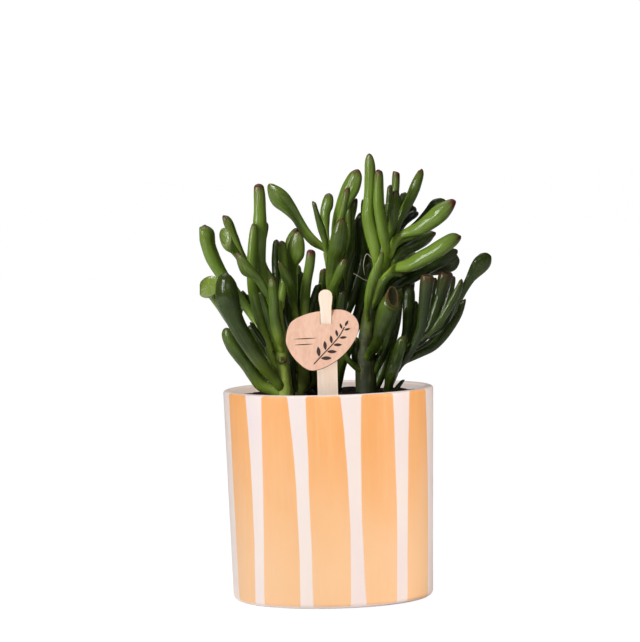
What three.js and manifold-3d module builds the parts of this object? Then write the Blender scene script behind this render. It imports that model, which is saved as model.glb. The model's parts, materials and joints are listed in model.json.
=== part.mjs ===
// A trumpet jade, a succulent with finger-like leaves that end in small cups, in a striped ceramic
// pot. Millimetres, +Z up; the origin is the centre of the pot's flat underside and -Y is the front.
import * as THREE from 'three';
import { mergeVertices } from 'three/addons/utils/BufferGeometryUtils.js';
import Module from 'manifold-3d';

const wasm = await Module();
wasm.setup();

// Driving dimensions
const POT = {
  height: 105, rimRadius: 52.5, footRadius: 50, wall: 4.5, floor: 5,
  footRounding: 3, rimRounding: 1.4, segments: 64,
};
const SOIL = { level: 102, crown: 0.6, flatTo: 0.6, gap: 0.3 };
const STICK = {
  x: -0.3, y: -36, thickness: 1, halfWidth: 5, neck: 2.75, head: 3.45,
  tip: 36, point: 48, shoulder: 132, neckFrom: 138, headFrom: 147, headWidest: 152, top: 155.8,
};
const TAG = { thickness: 1, lean: 20, slotHalfWidth: 3.15, slotHalfHeight: 3.05, z: 141.5, steps: 48 };
const GAP = 0.35; // between pieces that touch on the living plant
const ROOT_Z = 93; // stems stand this high above the underside, in pockets of the soil
const FACET_INSET = 0.96; // a faceted stem is this much narrower across its flats
const STEM = {
  sides: 10, stations: 24, stationsPerRing: 3,
  top: { rise: 0.45, width: 0.6, point: 0.2 }, // its blunt top, against its radius there
};
const LEAF = {
  sides: 8, bodyRings: 7,
  facets: 1.05, // an eight-sided section this much wider is as full as the round one
  heel: 0.42, // how far the rounded foot stands behind the first ring, against the width there
  dome: 0.9, domeRings: 3, // the rounded end: its length against half the leaf's width
  cup: 0.7, leastCup: 0.35, // the cup's depth against half its width, and its least depth
  cutFrom: 0.6, // the slanting cut sets in this far along
  lift: 0.6, // how far an upright leaf's upper side turns from sideways to up
};
const ROOM = {
  rounds: 120, clearance: 0.7, samples: 14,
  rooted: 0.15, // this much of a leaf may lie against its stem
  fromStem: 0.25, fromLeaf: 0.12, // the part of what is lacking that a leaf gives way in one round
};

const COLOURS = {
  glaze: '#f7bf82', soil: '#2a1d17', stickWood: '#f3dcc6', tagWood: '#e2bb9e',
  stem: '#7f9a4a', leaf: '#587c33',
};
const finish = (color, roughness) => (
  new THREE.MeshStandardMaterial({ color, roughness, metalness: 0 })
);

const plant = new THREE.Group();
plant.name = 'trumpet_jade';

function add(name, geometry, material) {
  const mesh = new THREE.Mesh(geometry, material);
  mesh.name = name;
  plant.add(mesh);
}

// Closed bodies from rings of points, all anticlockwise as seen from the end, with a pole at each end
function skin(startPole, rings, endPole) {
  const sides = rings[0].length;
  const points = [startPole, ...rings.flat(), endPole];
  const last = points.length - 1;
  const at = (ring, side) => 1 + ring * sides + (side % sides);
  const faces = [];
  for (let j = 0; j < sides; j += 1) {
    faces.push(0, at(0, j + 1), at(0, j));
    faces.push(last, at(rings.length - 1, j), at(rings.length - 1, j + 1));
    for (let i = 0; i < rings.length - 1; i += 1) {
      faces.push(at(i, j), at(i, j + 1), at(i + 1, j + 1));
      faces.push(at(i, j), at(i + 1, j + 1), at(i + 1, j));
    }
  }
  const geometry = new THREE.BufferGeometry();
  geometry.setAttribute('position', new THREE.Float32BufferAttribute(
    points.flatMap((p) => [p.x, p.y, p.z]), 3));
  geometry.setIndex(faces);
  return geometry;
}

// Pot: a slightly tapered cylinder of thick ceramic with a flat foot
function potGeometry() {
  const { height, rimRadius, footRadius, wall, floor, footRounding, rimRounding } = POT;
  const arc = (cx, cz, r, from, to, steps) => Array.from({ length: steps + 1 }, (_, i) => {
    const a = THREE.MathUtils.degToRad(from + ((to - from) * i) / steps);
    return new THREE.Vector2(cx + r * Math.cos(a), cz + r * Math.sin(a));
  });
  const profile = [
    new THREE.Vector2(0, 0),
    ...arc(footRadius - footRounding, footRounding, footRounding, -90, 0, 3),
    ...arc(rimRadius - rimRounding, height - rimRounding, rimRounding, 0, 90, 2),
    ...arc(rimRadius - wall + rimRounding, height - rimRounding, rimRounding, 90, 180, 2),
    ...arc(footRadius - wall - footRounding, floor + footRounding, footRounding, 0, -90, 2),
    new THREE.Vector2(0, floor),
  ];
  return new THREE.LatheGeometry(profile, POT.segments).rotateX(Math.PI / 2);
}

// Soil: fills the pot to just under the rim
function soilGeometry() {
  const { rimRadius, footRadius, wall, floor, footRounding, height } = POT;
  const taper = (rimRadius - footRadius) / height;
  const top = rimRadius - wall - SOIL.gap - taper * (height - SOIL.level);
  const bottom = footRadius - wall - SOIL.gap;
  const profile = [
    [0, floor + SOIL.gap], [bottom - footRounding, floor + SOIL.gap],
    [bottom - taper * footRounding, floor + footRounding + SOIL.gap], [top, SOIL.level - SOIL.crown],
    [top * SOIL.flatTo, SOIL.level], [0, SOIL.level],
  ].map(([x, y]) => new THREE.Vector2(x, y));
  return new THREE.LatheGeometry(profile, POT.segments).rotateX(Math.PI / 2);
}

// Stems: thick, upright, round in section. Each point is x, y, z and the stem's thickness there
const STEMS = {
  left_stem: [[-21, -14, ROOT_Z, 7.5], [-21.5, -14, 108, 7], [-22.5, -14, 119, 6.4],
    [-23, -13, 130, 5.2], [-24, -10, 149, 3.6]],
  left_rear_stem: [[-14, 4, ROOT_Z, 7], [-12.5, 4, 112, 6.5], [-13, 5, 126, 5], [-14.5, 5, 137, 4.2]],
  middle_stem: [[1.5, 13, ROOT_Z, 8], [2.5, 13, 122, 6.5], [2.5, 12, 148, 5.5],
    [3, 12, 162, 4.8], [1.5, 11, 172, 4.2]],
  right_trunk: [[20.5, 4, ROOT_Z, 12.6], [19.5, 4, 112, 11.6], [19.5, 4, 125, 8.5], [22, 4, 143, 6.5],
    [27, 3, 158, 6], [32.5, 2, 174, 4.6]],
  right_side_stem: [[28, -8, ROOT_Z, 6.6], [30, -9, 107, 6], [34, -10, 116, 5.4], [38.5, -10, 122, 4.4]],
};

function stemShape(points) {
  const line = new THREE.CatmullRomCurve3(points.map(([x, y, z]) => new THREE.Vector3(x, y, z)));
  const thickness = new THREE.SplineCurve(points.map((p, i) => new THREE.Vector2(i, p[3])));
  const stations = Array.from({ length: STEM.stations + 1 }, (_, i) => {
    const t = i / STEM.stations;
    return { point: line.getPoint(t), tangent: line.getTangent(t), radius: thickness.getPoint(t).y / 2 };
  });
  const tip = stations[STEM.stations];
  return { stations, tip, top: tip.point.z + tip.radius * STEM.top.width };
}

function ringAround({ point, tangent, radius }, sides, swell) {
  const side = new THREE.Vector3(1, 0, 0).addScaledVector(tangent, -tangent.x).normalize();
  const front = new THREE.Vector3().crossVectors(side, tangent).negate();
  return Array.from({ length: sides }, (_, j) => {
    const a = (2 * Math.PI * j) / sides;
    return point.clone().addScaledVector(side, Math.cos(a) * (radius + swell))
      .addScaledVector(front, Math.sin(a) * (radius + swell));
  });
}

function stemGeometry({ stations, tip }, swell = 0) {
  const { rise, width, point } = STEM.top;
  const used = stations.filter((_, i) => i % STEM.stationsPerRing === 0);
  const cap = {
    point: tip.point.clone().addScaledVector(tip.tangent, tip.radius * rise),
    tangent: tip.tangent,
    radius: tip.radius * width,
  };
  const foot = used[0];
  return skin(
    foot.point.clone().addScaledVector(foot.tangent, -swell),
    [...used, cap].map((s) => ringAround(s, STEM.sides, swell)),
    cap.point.clone().addScaledVector(tip.tangent, tip.radius * point + swell),
  );
}

// Where a stem is at a given height; above its top the radius is nothing
function stemAt({ stations, tip, top }, z) {
  if (z >= top) return { ...tip, point: tip.point.clone().setZ(z), radius: 0 };
  const near = stations.reduce((a, b) => (
    Math.abs(b.point.z - z) < Math.abs(a.point.z - z) ? b : a));
  const point = near.point.clone().addScaledVector(near.tangent, (z - near.point.z) / near.tangent.z);
  return { ...near, point };
}

// Leaves. Each grows from its stem at height z, through points of x, y, z and width, and ends in a
// cup: mouth is the cup's width against the leaf's, face is the way it looks, slant how obliquely
// it is cut, flat the leaf's thickness against its width, base its width where it leaves the stem.
const leaf = (z, line, more = {}) => ({ z, line, base: 3.4, flat: 0.85, mouth: 0.35, slant: 0.8, ...more });
const LEAVES = {
  left_leaf: ['left_stem', [
    leaf(125, [[-38, -5, 144, 4.5], [-52, 0, 163.5, 6.2], [-56.5, 1, 174, 7], [-60.5, 2, 181.5, 9.4],
      [-59, 2, 186, 7.5], [-59, 2, 188, 3]]),
    leaf(143, [[-32, 4, 154.5, 3.5], [-42.5, 4, 174.5, 3.5], [-44.5, 5, 179.5, 4], [-47, 5, 187.5, 4.8],
      [-49.5, 5, 192.5, 3]], { mouth: 0.3 }),
    leaf(134, [[-32, -6, 151.5, 3.5], [-41.5, -8, 170, 4], [-46.5, -11, 177, 4.5], [-49, -13, 181.5, 5.9],
      [-50.5, -14, 186, 6.4]], { mouth: 0.98, face: [-0.15, -1, 0], slant: 9 }),
    leaf(133, [[-26.5, -22, 149, 3.2], [-32.5, -24, 159.5, 4.1], [-35, -25, 164, 5.2],
      [-39.5, -26, 167, 7], [-41.5, -26, 171.5, 5], [-43, -26, 174.5, 2.5]],
    { flat: 0.6, face: [0.4, 1, 0.5] }),
    leaf(145, [[-30.5, -7, 159, 3.5], [-32, -7, 170.5, 5], [-32, -7, 182.5, 6.7], [-32, -7, 190.5, 6.5],
      [-31.5, -6, 198, 5.5], [-32, -6, 207.5, 5]], { mouth: 0.6, face: [0.1, -0.6, 1] }),
    leaf(120.5, [[-32, -15, 138, 5.5], [-36, -12, 155.5, 5.8], [-36, -12, 172.5, 5.4],
      [-35, -12, 182, 4.6], [-34.5, -12, 188.5, 3]]),
    leaf(111, [[-32.5, -21, 119, 6.7], [-39, -25, 129.5, 7.6], [-45.5, -28, 142, 8.1],
      [-47.5, -29, 149, 10], [-49.5, -29, 156.5, 11.3], [-49, -29, 161.5, 8.6], [-48.5, -29, 165, 4.4]],
    { base: 5, flat: 0.9 }),
    leaf(113, [[-37.5, -3, 127, 4.5], [-46.5, -5, 139.5, 4.5], [-53, -8, 150, 4.2],
      [-56.5, -13, 156, 4.5], [-58, -18, 159.5, 9]],
    { mouth: 1, flat: 1.25, face: [0, 0, 1], slant: 1.5 }),
    leaf(118, [[-32.5, 4, 131.5, 4], [-36, 5, 140.5, 4], [-39, 5, 148, 4], [-40.5, 6, 153, 3]]),
    leaf(105.5, [[-32, -12, 107, 7], [-41, -14, 120, 7.7], [-45.5, -16, 126, 7.9], [-48.5, -16, 132.5, 8],
      [-49.5, -17, 137, 5.5]], { base: 5.4, flat: 0.9 }),
    leaf(127.5, [[-24, -21, 134, 5.9], [-25.5, -22, 141, 5.6], [-26, -25, 156, 5], [-26.5, -25, 162, 3.7]]),
    leaf(149, [[-20.5, 0, 162, 4.5], [-21, 1, 171.5, 4.5], [-21.5, 1, 179, 4]]),
  ]],
  left_rear_leaf: ['left_rear_stem', [
    leaf(139.4, [[-16.5, 2, 146.5, 4], [-18, -8, 158, 4.7], [-20, -10, 163, 4.6], [-22.5, -12, 169, 2.5]],
      { base: 3 }),
    leaf(136, [[-10.5, 2, 149.5, 5], [-9.5, -2, 158, 4.9], [-7.5, -4, 168, 4.8], [-7, -4, 173.5, 4.6]],
      { base: 3, mouth: 0.8, face: [0.2, -0.5, 1] }),
    leaf(132, [[-16, 11, 142.5, 3.5], [-16, 8, 157, 3.8], [-16.5, 6, 164.5, 4.8], [-15.5, 5, 169.5, 7.5],
      [-14, 3, 174.5, 10], [-13.5, 3, 179.5, 7.5], [-13, 3, 183, 3.5]],
    { flat: 0.5, face: [0.4, 1, 0.5] }),
    leaf(119, [[-20, 14, 134, 5], [-28, 20, 152, 5.6], [-32, 24, 168, 6.4], [-32, 25, 176, 5.6]],
      { mouth: 0.8, face: [0.2, 0.6, 1] }),
    leaf(124, [[-13, 16, 138, 4.8], [-14, 24, 150, 5], [-14.5, 27, 159, 5], [-14.5, 28, 166, 4.5]]),
    leaf(110, [[-21, 20, 120, 5.2], [-29, 26, 134, 5.6], [-34, 29, 148, 6], [-35, 30, 157, 5.6]],
      { base: 4.4, mouth: 0.6, face: [0.5, 0.2, 1] }),
  ]],
  middle_leaf: ['middle_stem', [
    leaf(174.3, [[-3.5, 10, 176.5, 4.8], [-7.5, 10, 180, 5.5], [-12, 10, 187, 5.3], [-15.5, 10, 193, 6.3],
      [-20, 10, 197.5, 10.2], [-24, 10, 202.5, 8.8], [-27, 10, 207, 3.5]],
    { flat: 0.5, face: [0.3, 0.8, 0.6] }),
    leaf(174.5, [[1, 14, 180.5, 2.8], [1, 15, 186.5, 3.3], [1, 16, 192.5, 4.5], [2.5, 17, 197, 5],
      [3, 18, 201.5, 3.3]], { base: 2.8 }),
    leaf(165, [[5.5, 14, 178, 4.5], [6.5, 14, 184, 5.8], [9, 13, 194.5, 6.8], [12, 12, 200.5, 8.2],
      [15, 12, 206.5, 8.8], [17, 12, 211.5, 6.3], [18, 12, 214, 3]],
    { flat: 0.55, face: [-0.35, -0.9, 0.4], mouth: 0.4 }),
    leaf(160, [[6.5, 2, 182.5, 4.2], [9, 0, 191, 4], [11.5, -1, 201.5, 3.5], [12.5, -1, 205, 2.5]]),
    leaf(152.5, [[3, 1, 157.5, 5.8], [4.5, -2, 166, 8.2], [5.5, -4, 172, 8.4], [7, -8, 177.5, 8.7],
      [8, -9, 183, 8.2], [8.5, -10, 186.5, 6.2], [9, -10, 190, 3]], { base: 4.4 }),
    leaf(146, [[10.5, 16, 173, 4], [12.5, 15, 183, 4], [15, 15, 195.5, 4.5], [15.5, 15, 199, 4.5]],
      { mouth: 0.6 }),
    leaf(138, [[10.5, 22, 163.5, 5], [14, 22, 174, 5], [16.5, 22, 185, 4.8], [19, 22, 192, 2.5]]),
    leaf(142, [[2.5, -3, 151, 4.5], [4, -6, 155.5, 4.6], [6, -10, 160.5, 4.8], [8.5, -12, 166, 4.5],
      [10, -13, 170, 3]]),
    leaf(136, [[-2, 7.5, 150, 5], [-1, 8, 158, 4.4], [-0.5, 8, 164.5, 4.2]]),
    leaf(152, [[4, 24, 168, 5.4], [8, 31, 182, 6], [9, 34, 192, 5]], { mouth: 0.8, face: [0.2, 0.6, 1] }),
    leaf(130, [[9, 24, 142, 6], [14, 33, 156, 7.4], [16.5, 37, 168, 8.6], [16.5, 38, 176, 7]],
      { base: 4.4 }),
  ]],
  right_leaf: ['right_trunk', [
    leaf(162, [[25.5, -5, 169.5, 4.5], [24, -6, 180, 6.5], [22.5, -6, 186, 6.2], [22, -6, 193.5, 5.7],
      [23, -6, 201.5, 4.8], [23.5, -6, 208, 4.7], [23.5, -6, 215, 5.4], [23.5, -6, 221.5, 2.5]],
    { mouth: 0.2 }),
    leaf(168, [[30.5, -7, 174, 4.7], [29.5, -11, 180, 5.7], [28.5, -12, 187, 5.9], [27.5, -12, 193.5, 5.8],
      [27.5, -12, 202.5, 5.4], [28, -12, 213.5, 4]], { mouth: 0.5, face: [0.3, -0.2, 1] }),
    leaf(177, [[34.5, 12, 190, 3.8], [36, 14, 200, 4], [37, 14, 211.5, 3.7]],
      { base: 3, mouth: 0.8, face: [0.3, 0.1, 1] }),
    leaf(177, [[34.5, -3, 188, 4.7], [35.5, -4, 195.5, 5.1], [36, -4, 203, 4]], { base: 3 }),
    leaf(170, [[36, 4, 176.5, 3.4], [36.5, 3, 184, 3.5], [39, 4, 190, 4.2], [43, 4, 197, 5],
      [46, 4, 203.5, 5.2], [48.5, 5, 209, 4.6], [49.5, 5, 213, 2.4]], { mouth: 0.25 }),
    leaf(173, [[37.5, -5, 181, 4.5], [42.5, -6, 182, 5.2], [48, -8, 184, 7.5], [54.5, -9, 188.5, 8.9],
      [60.5, -11, 193.5, 8.6], [65, -12, 197.5, 3.6]], { mouth: 0.6, face: [0.2, -0.5, 0.8] }),
    leaf(164, [[36, 10, 173, 3.8], [43, 12, 182, 4], [50, 13, 186, 7], [54.5, 13, 189.5, 9.5],
      [58.5, 13, 192.5, 11.5], [62, 13, 195.5, 9]], { flat: 0.5, face: [0.1, 1, 0.4], mouth: 0.6 }),
    leaf(162, [[34.5, -5, 164, 5], [40, -8, 165, 7.5], [45.5, -10, 167.5, 9.7], [51.5, -12, 170.5, 9.7],
      [58, -14, 174.5, 9.7], [63.5, -14, 178, 8.6], [67.5, -14, 180, 5]],
    { flat: 0.75, face: [-0.2, -0.3, 1], mouth: 0.3 }),
    leaf(165, [[35.5, 2, 169.5, 4.5], [39, 3, 172, 5.7], [44.5, 4, 174.5, 7], [50, 4, 178, 6.5],
      [55.5, 4, 181.5, 3.4]]),
    leaf(157, [[43.5, 10, 161.5, 5.5], [52.5, 11, 163, 8], [58, 11, 164.5, 10], [63.5, 11, 166.5, 10.4],
      [67, 11, 168, 7]], { flat: 0.5, face: [0.2, 1, 0.5], mouth: 0.6 }),
    leaf(141, [[21, -8, 147.5, 4.2], [22, -10, 153, 5], [23.5, -12, 158.5, 5.2], [25.5, -13, 164, 5],
      [27.5, -13, 168.5, 3.7], [28.5, -13, 173, 2]], { mouth: 0.2 }),
    leaf(122, [[25, -11, 128, 5.2], [28, -14, 138.5, 7.4], [30, -15, 144, 8.2], [33, -16, 149.5, 8.7],
      [34.5, -16, 155, 7]], { base: 5, mouth: 0.8, face: [0.6, -0.9, 0.35], slant: 9 }),
    leaf(140, [[25, 14, 152, 5.6], [29, 22, 168, 6], [31, 27, 184, 6.2], [31.5, 28, 195, 5.4]],
      { mouth: 0.8, face: [0.2, 0.6, 1] }),
    leaf(128, [[30, 16, 138, 6], [38, 25, 150, 7], [43, 29, 163, 8.4], [44, 30, 171, 7]], { base: 4.4 }),
    leaf(116, [[22, 20, 126, 6], [24, 32, 138, 7], [25, 38, 150, 8], [25, 39, 157, 6.4]],
      { base: 4.4, mouth: 0.7, face: [0.1, 0.4, 1] }),
  ]],
  right_side_leaf: ['right_side_stem', [
    leaf(114.5, [[36, -3, 121, 3.4], [39.5, 0, 131.5, 4], [41, 2, 143, 5.5], [41.5, 3, 151, 6.3],
      [40, 3, 155.5, 5]]),
    leaf(117, [[41, -15, 121.5, 3.6], [46.5, -17, 133, 4.4], [48, -18, 141, 5.1], [49, -19, 149, 5.7],
      [50.5, -20, 161, 6.7]], { mouth: 0.95, face: [0.1, -0.3, 1], slant: 0.6 }),
    leaf(118.5, [[41, -4, 122, 3.2], [50.5, -4, 130.5, 4.2], [54, -4, 140, 4.7], [57, -4, 148, 5],
      [60.5, -5, 162, 7.5]], { mouth: 0.9, face: [0.3, -0.3, 1], slant: 1.2 }),
    leaf(125, [[46, -13, 129, 3.5], [49.5, -14, 130.5, 4], [53.5, -14, 135, 4.7], [58, -15, 140, 5.5],
      [62, -15, 146.5, 5.8], [64.5, -15, 151, 5.6], [66.5, -15, 155.5, 4.5], [67, -15, 159, 2.5]],
    { mouth: 0.2, flat: 0.7, face: [-0.5, 0.3, 1] }),
    leaf(119.5, [[46.5, -8, 120.5, 4.2], [51, -7, 122.5, 4.8], [56.5, -7, 127.5, 5.8],
      [61.5, -7, 133.5, 5.4], [65.5, -7, 139.5, 4.7], [69, -7, 148.5, 2.7]], { mouth: 0.2 }),
    leaf(109.5, [[37, 2, 114.5, 3], [43, 6, 119, 3.2], [51, 8, 122.5, 3.4], [57, 10, 127.5, 3.8],
      [68, 12, 147, 3.6], [72, 12, 154.5, 4.6], [76, 12, 162, 7.6], [79.5, 12, 165.5, 9.2],
      [81, 12, 170, 8]], { flat: 0.6, face: [-0.4, 0.8, 0.5] }),
    leaf(104, [[31, -14, 111.5, 6.5], [33, -16, 117, 7.2], [35, -17, 122.5, 7.2], [37, -18, 128, 6.2],
      [38.5, -18, 131.5, 3.7]], { base: 4 }),
  ]],
};

// The first point of a leaf: beside its stem, a small gap away, on the side that it grows to
function seat(stem, { z, base, line }) {
  const node = stemAt(stem, z);
  const grows = new THREE.Vector3(...line[0]).sub(node.point).normalize();
  const away = grows.clone().addScaledVector(node.tangent, -grows.dot(node.tangent));
  const level = away.length();
  const reach = Math.max(base * LEAF.heel * level, (base / 2) * Math.sqrt(1 - level ** 2));
  away.normalize().multiplyScalar(node.radius * FACET_INSET + GAP + reach);
  return [...node.point.add(away).toArray(), base];
}

const stems = Object.fromEntries(
  Object.entries(STEMS).map(([name, points]) => [name, stemShape(points)]));
const leaves = Object.entries(LEAVES).flatMap(([group, [stemName, rows]]) => rows.map((row, i) => ({
  ...row,
  name: `${group}_${String(i + 1).padStart(2, '0')}`,
  line: [seat(stems[stemName], row), ...row.line],
})));

const curveOf = (line) => (
  new THREE.CatmullRomCurve3(line.map(([x, y, z]) => new THREE.Vector3(x, y, z))));
const widthOf = (line) => new THREE.SplineCurve(line.map((p, i) => new THREE.Vector2(i, p[3])));

// Points along a leaf where it is kept clear of the others, with the leaf's radius there
function samples({ line, flat }) {
  const [curve, width] = [curveOf(line), widthOf(line)];
  return Array.from({ length: ROOM.samples + 1 }, (_, i) => {
    const t = i / ROOM.samples;
    return { t, point: curve.getPoint(t), radius: (width.getPoint(t).y / 2) * Math.sqrt(flat) };
  });
}

// How far, and which way, two round places must move apart from front to back to be clear
function lacking(a, b) {
  const across = Math.hypot(a.point.x - b.point.x, a.point.z - b.point.z);
  const need = a.radius + b.radius + ROOM.clearance;
  const apart = a.point.y - b.point.y;
  if (across ** 2 + apart ** 2 >= need ** 2) return 0;
  return (apart < 0 ? -1 : 1) * (Math.sqrt(need ** 2 - across ** 2) - Math.abs(apart));
}

// Leaves that would press into each other give way backwards and forwards
function giveWay() {
  const shift = (line, t, amount) => {
    const u = t * (line.length - 1);
    const low = Math.floor(u);
    const part = u - low;
    if (low > 0) line[low][1] += amount * (1 - part);
    if (low + 1 < line.length) line[low + 1][1] += amount * part;
  };
  const still = Object.values(stems).flatMap((s) => s.stations);
  for (let round = 0; round < ROOM.rounds; round += 1) {
    const all = leaves.map(samples);
    leaves.forEach((one, i) => {
      for (const a of all[i]) {
        if (a.t > ROOM.rooted) {
          for (const s of still) shift(one.line, a.t, lacking(a, s) * ROOM.fromStem);
        }
        for (let k = i + 1; k < leaves.length; k += 1) {
          for (const b of all[k]) {
            const way = lacking(a, b) * ROOM.fromLeaf;
            if (way) {
              shift(one.line, a.t, way);
              shift(leaves[k].line, b.t, -way);
            }
          }
        }
      }
    });
  }
}
giveWay();

// A leaf is a row of oval rings along its line, then rings that round off its end, and a cup
function leafGeometry({ line, flat, mouth, slant, face }) {
  const [curve, width] = [curveOf(line), widthOf(line)];
  const length = curve.getLength();
  const dome = (line[line.length - 1][3] / 2) * LEAF.dome;
  const [foot, end] = [curve.getPoint(0), curve.getPoint(1)];
  const up = new THREE.Vector3(foot.x - end.x, foot.y - end.y, LEAF.lift * (end.z - foot.z));
  const looks = face ? new THREE.Vector3(...face) : up;
  const stations = Array.from({ length: LEAF.bodyRings }, (_, i) => ({
    u: (i / (LEAF.bodyRings - 1)) * (1 - dome / length), size: 1,
  }));
  for (let i = 1; i <= LEAF.domeRings; i += 1) {
    const a = ((Math.PI / 2) * i) / LEAF.domeRings;
    stations.push({
      u: 1 - (dome / length) * (1 - Math.sin(a)), size: mouth + (1 - mouth) * Math.cos(a),
    });
  }
  // The upper side is set at the cup and carried down the leaf without twisting
  const square = (v, t) => v.clone().addScaledVector(t, -v.dot(t)).normalize();
  stations.reduceRight((normal, station) => {
    station.tangent = curve.getTangentAt(station.u);
    station.normal = square(normal, station.tangent);
    return station.normal;
  }, looks);
  const rings = stations.map(({ u, size, tangent, normal }) => {
    const half = (width.getPoint(curve.getUtoTmapping(u)).y / 2) * size * LEAF.facets;
    const cut = slant * THREE.MathUtils.smoothstep(u, LEAF.cutFrom, 1) ** 2;
    const side = new THREE.Vector3().crossVectors(tangent, normal);
    return Array.from({ length: LEAF.sides }, (_, j) => {
      const a = (2 * Math.PI * j) / LEAF.sides;
      return curve.getPointAt(u).addScaledVector(side, Math.sin(a) * half)
        .addScaledVector(normal, Math.cos(a) * half * flat)
        .addScaledVector(tangent, -cut * 0.5 * (1 + Math.cos(a)));
    });
  });
  const rim = rings[rings.length - 1];
  const middle = rim.reduce((sum, p) => sum.add(p), new THREE.Vector3()).divideScalar(LEAF.sides);
  const reach = rim[0].distanceTo(rim[LEAF.sides / 2]) / 2;
  const inward = new THREE.Vector3().crossVectors(
    rim[2].clone().sub(rim[0]), rim[1].clone().sub(rim[0])).normalize();
  const heel = foot.addScaledVector(curve.getTangent(0), -line[0][3] * LEAF.heel);
  return skin(heel, rings, middle.addScaledVector(inward, Math.max(LEAF.leastCup, reach * LEAF.cup)));
}

// Stick and tag: thin plywood. The stick's neck goes through the tag's slot, from behind to front
function stickShape(grow = 0) {
  const { tip, point, shoulder, neckFrom, headFrom, headWidest, top } = STICK;
  const [halfWidth, neck, head] = [STICK.halfWidth, STICK.neck, STICK.head].map((w) => w + grow);
  const edge = new THREE.Path();
  edge.moveTo(0, tip - grow);
  edge.quadraticCurveTo(halfWidth, (tip + point) / 2, halfWidth, point);
  edge.lineTo(halfWidth, shoulder);
  edge.quadraticCurveTo(halfWidth, (shoulder + neckFrom) / 2, neck, neckFrom);
  edge.lineTo(neck, headFrom);
  edge.quadraticCurveTo(head, headFrom, head, headWidest);
  edge.absellipse(0, headWidest, head, top + grow - headWidest, 0, Math.PI / 2);
  const side = edge.getPoints(3);
  const left = side.slice(1, -1).reverse().map((p) => new THREE.Vector2(-p.x, p.y));
  return new THREE.Shape([...side, ...left]);
}

function stickGeometry(grow = 0) {
  const depth = STICK.thickness + 2 * grow;
  const board = new THREE.ExtrudeGeometry(stickShape(grow), { depth, bevelEnabled: false });
  return board.translate(0, 0, -depth / 2).rotateX(Math.PI / 2).translate(STICK.x, STICK.y, 0);
}

function tagGeometry() {
  const vector = ([x, y]) => new THREE.Vector2(x, y);
  const outline = new THREE.SplineCurve([
    [-19.8, -9.5], [-17.2, -1.6], [-9.4, 2.5], [0, 4.1], [8.6, 4.1], [14.3, 0.3], [15.9, -5.8],
    [11.6, -14.8], [3.2, -22.6], [-7.3, -26.4], [-14.6, -21.6], [-18.9, -14.8], [-19.8, -9.5],
  ].map(vector));
  const shape = new THREE.Shape(outline.getPoints(TAG.steps).slice(0, -1));
  const { slotHalfWidth: w, slotHalfHeight: h } = TAG;
  shape.holes.push(new THREE.Path([[-w, -h], [w, -h], [w, h], [-w, h]].map(vector)));
  const board = new THREE.ExtrudeGeometry(shape, { depth: TAG.thickness, bevelEnabled: false });
  return board.translate(0, 0, -TAG.thickness / 2)
    .rotateX(Math.PI / 2 - THREE.MathUtils.degToRad(TAG.lean))
    .translate(STICK.x, STICK.y, TAG.z);
}

// Booleans on closed meshes
function solid(geometry) {
  const bare = geometry.clone();
  bare.deleteAttribute('normal');
  bare.deleteAttribute('uv');
  const merged = mergeVertices(bare, 1e-4);
  return new wasm.Manifold(new wasm.Mesh({
    numProp: 3,
    vertProperties: new Float32Array(merged.attributes.position.array),
    triVerts: new Uint32Array(merged.index.array),
  }));
}

function fromSolid(body) {
  const { vertProperties, triVerts } = body.getMesh();
  const geometry = new THREE.BufferGeometry();
  geometry.setAttribute('position', new THREE.Float32BufferAttribute(vertProperties, 3));
  geometry.setIndex(Array.from(triVerts));
  return geometry;
}

// Pockets in the soil for the stick and for the foot of each stem
const pockets = [stickGeometry(GAP), ...Object.values(stems).map((s) => stemGeometry(s, GAP))];
const soil = pockets.reduce((left, pocket) => left.subtract(solid(pocket)), solid(soilGeometry()));

add('pot', potGeometry(), finish(COLOURS.glaze, 0.4));
add('potting_soil', fromSolid(soil), finish(COLOURS.soil, 0.95));
for (const [name, shape] of Object.entries(stems)) {
  add(name, stemGeometry(shape), finish(COLOURS.stem, 0.5));
}
for (const one of leaves) add(one.name, leafGeometry(one), finish(COLOURS.leaf, 0.4));
add('wooden_stick', stickGeometry(), finish(COLOURS.stickWood, 0.8));
add('plant_tag', tagGeometry(), finish(COLOURS.tagWood, 0.8));

export default plant;
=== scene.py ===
# A trumpet jade, a succulent with finger-like cupped leaves, in a striped ceramic pot with a wooden
# stick and tag. Metres, +Z up; the origin is the centre of the pot's underside and -Y is the front.
import json
import math

import bmesh
import bpy
import numpy as np
from mathutils import Matrix, Vector, noise as lumpy

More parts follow.
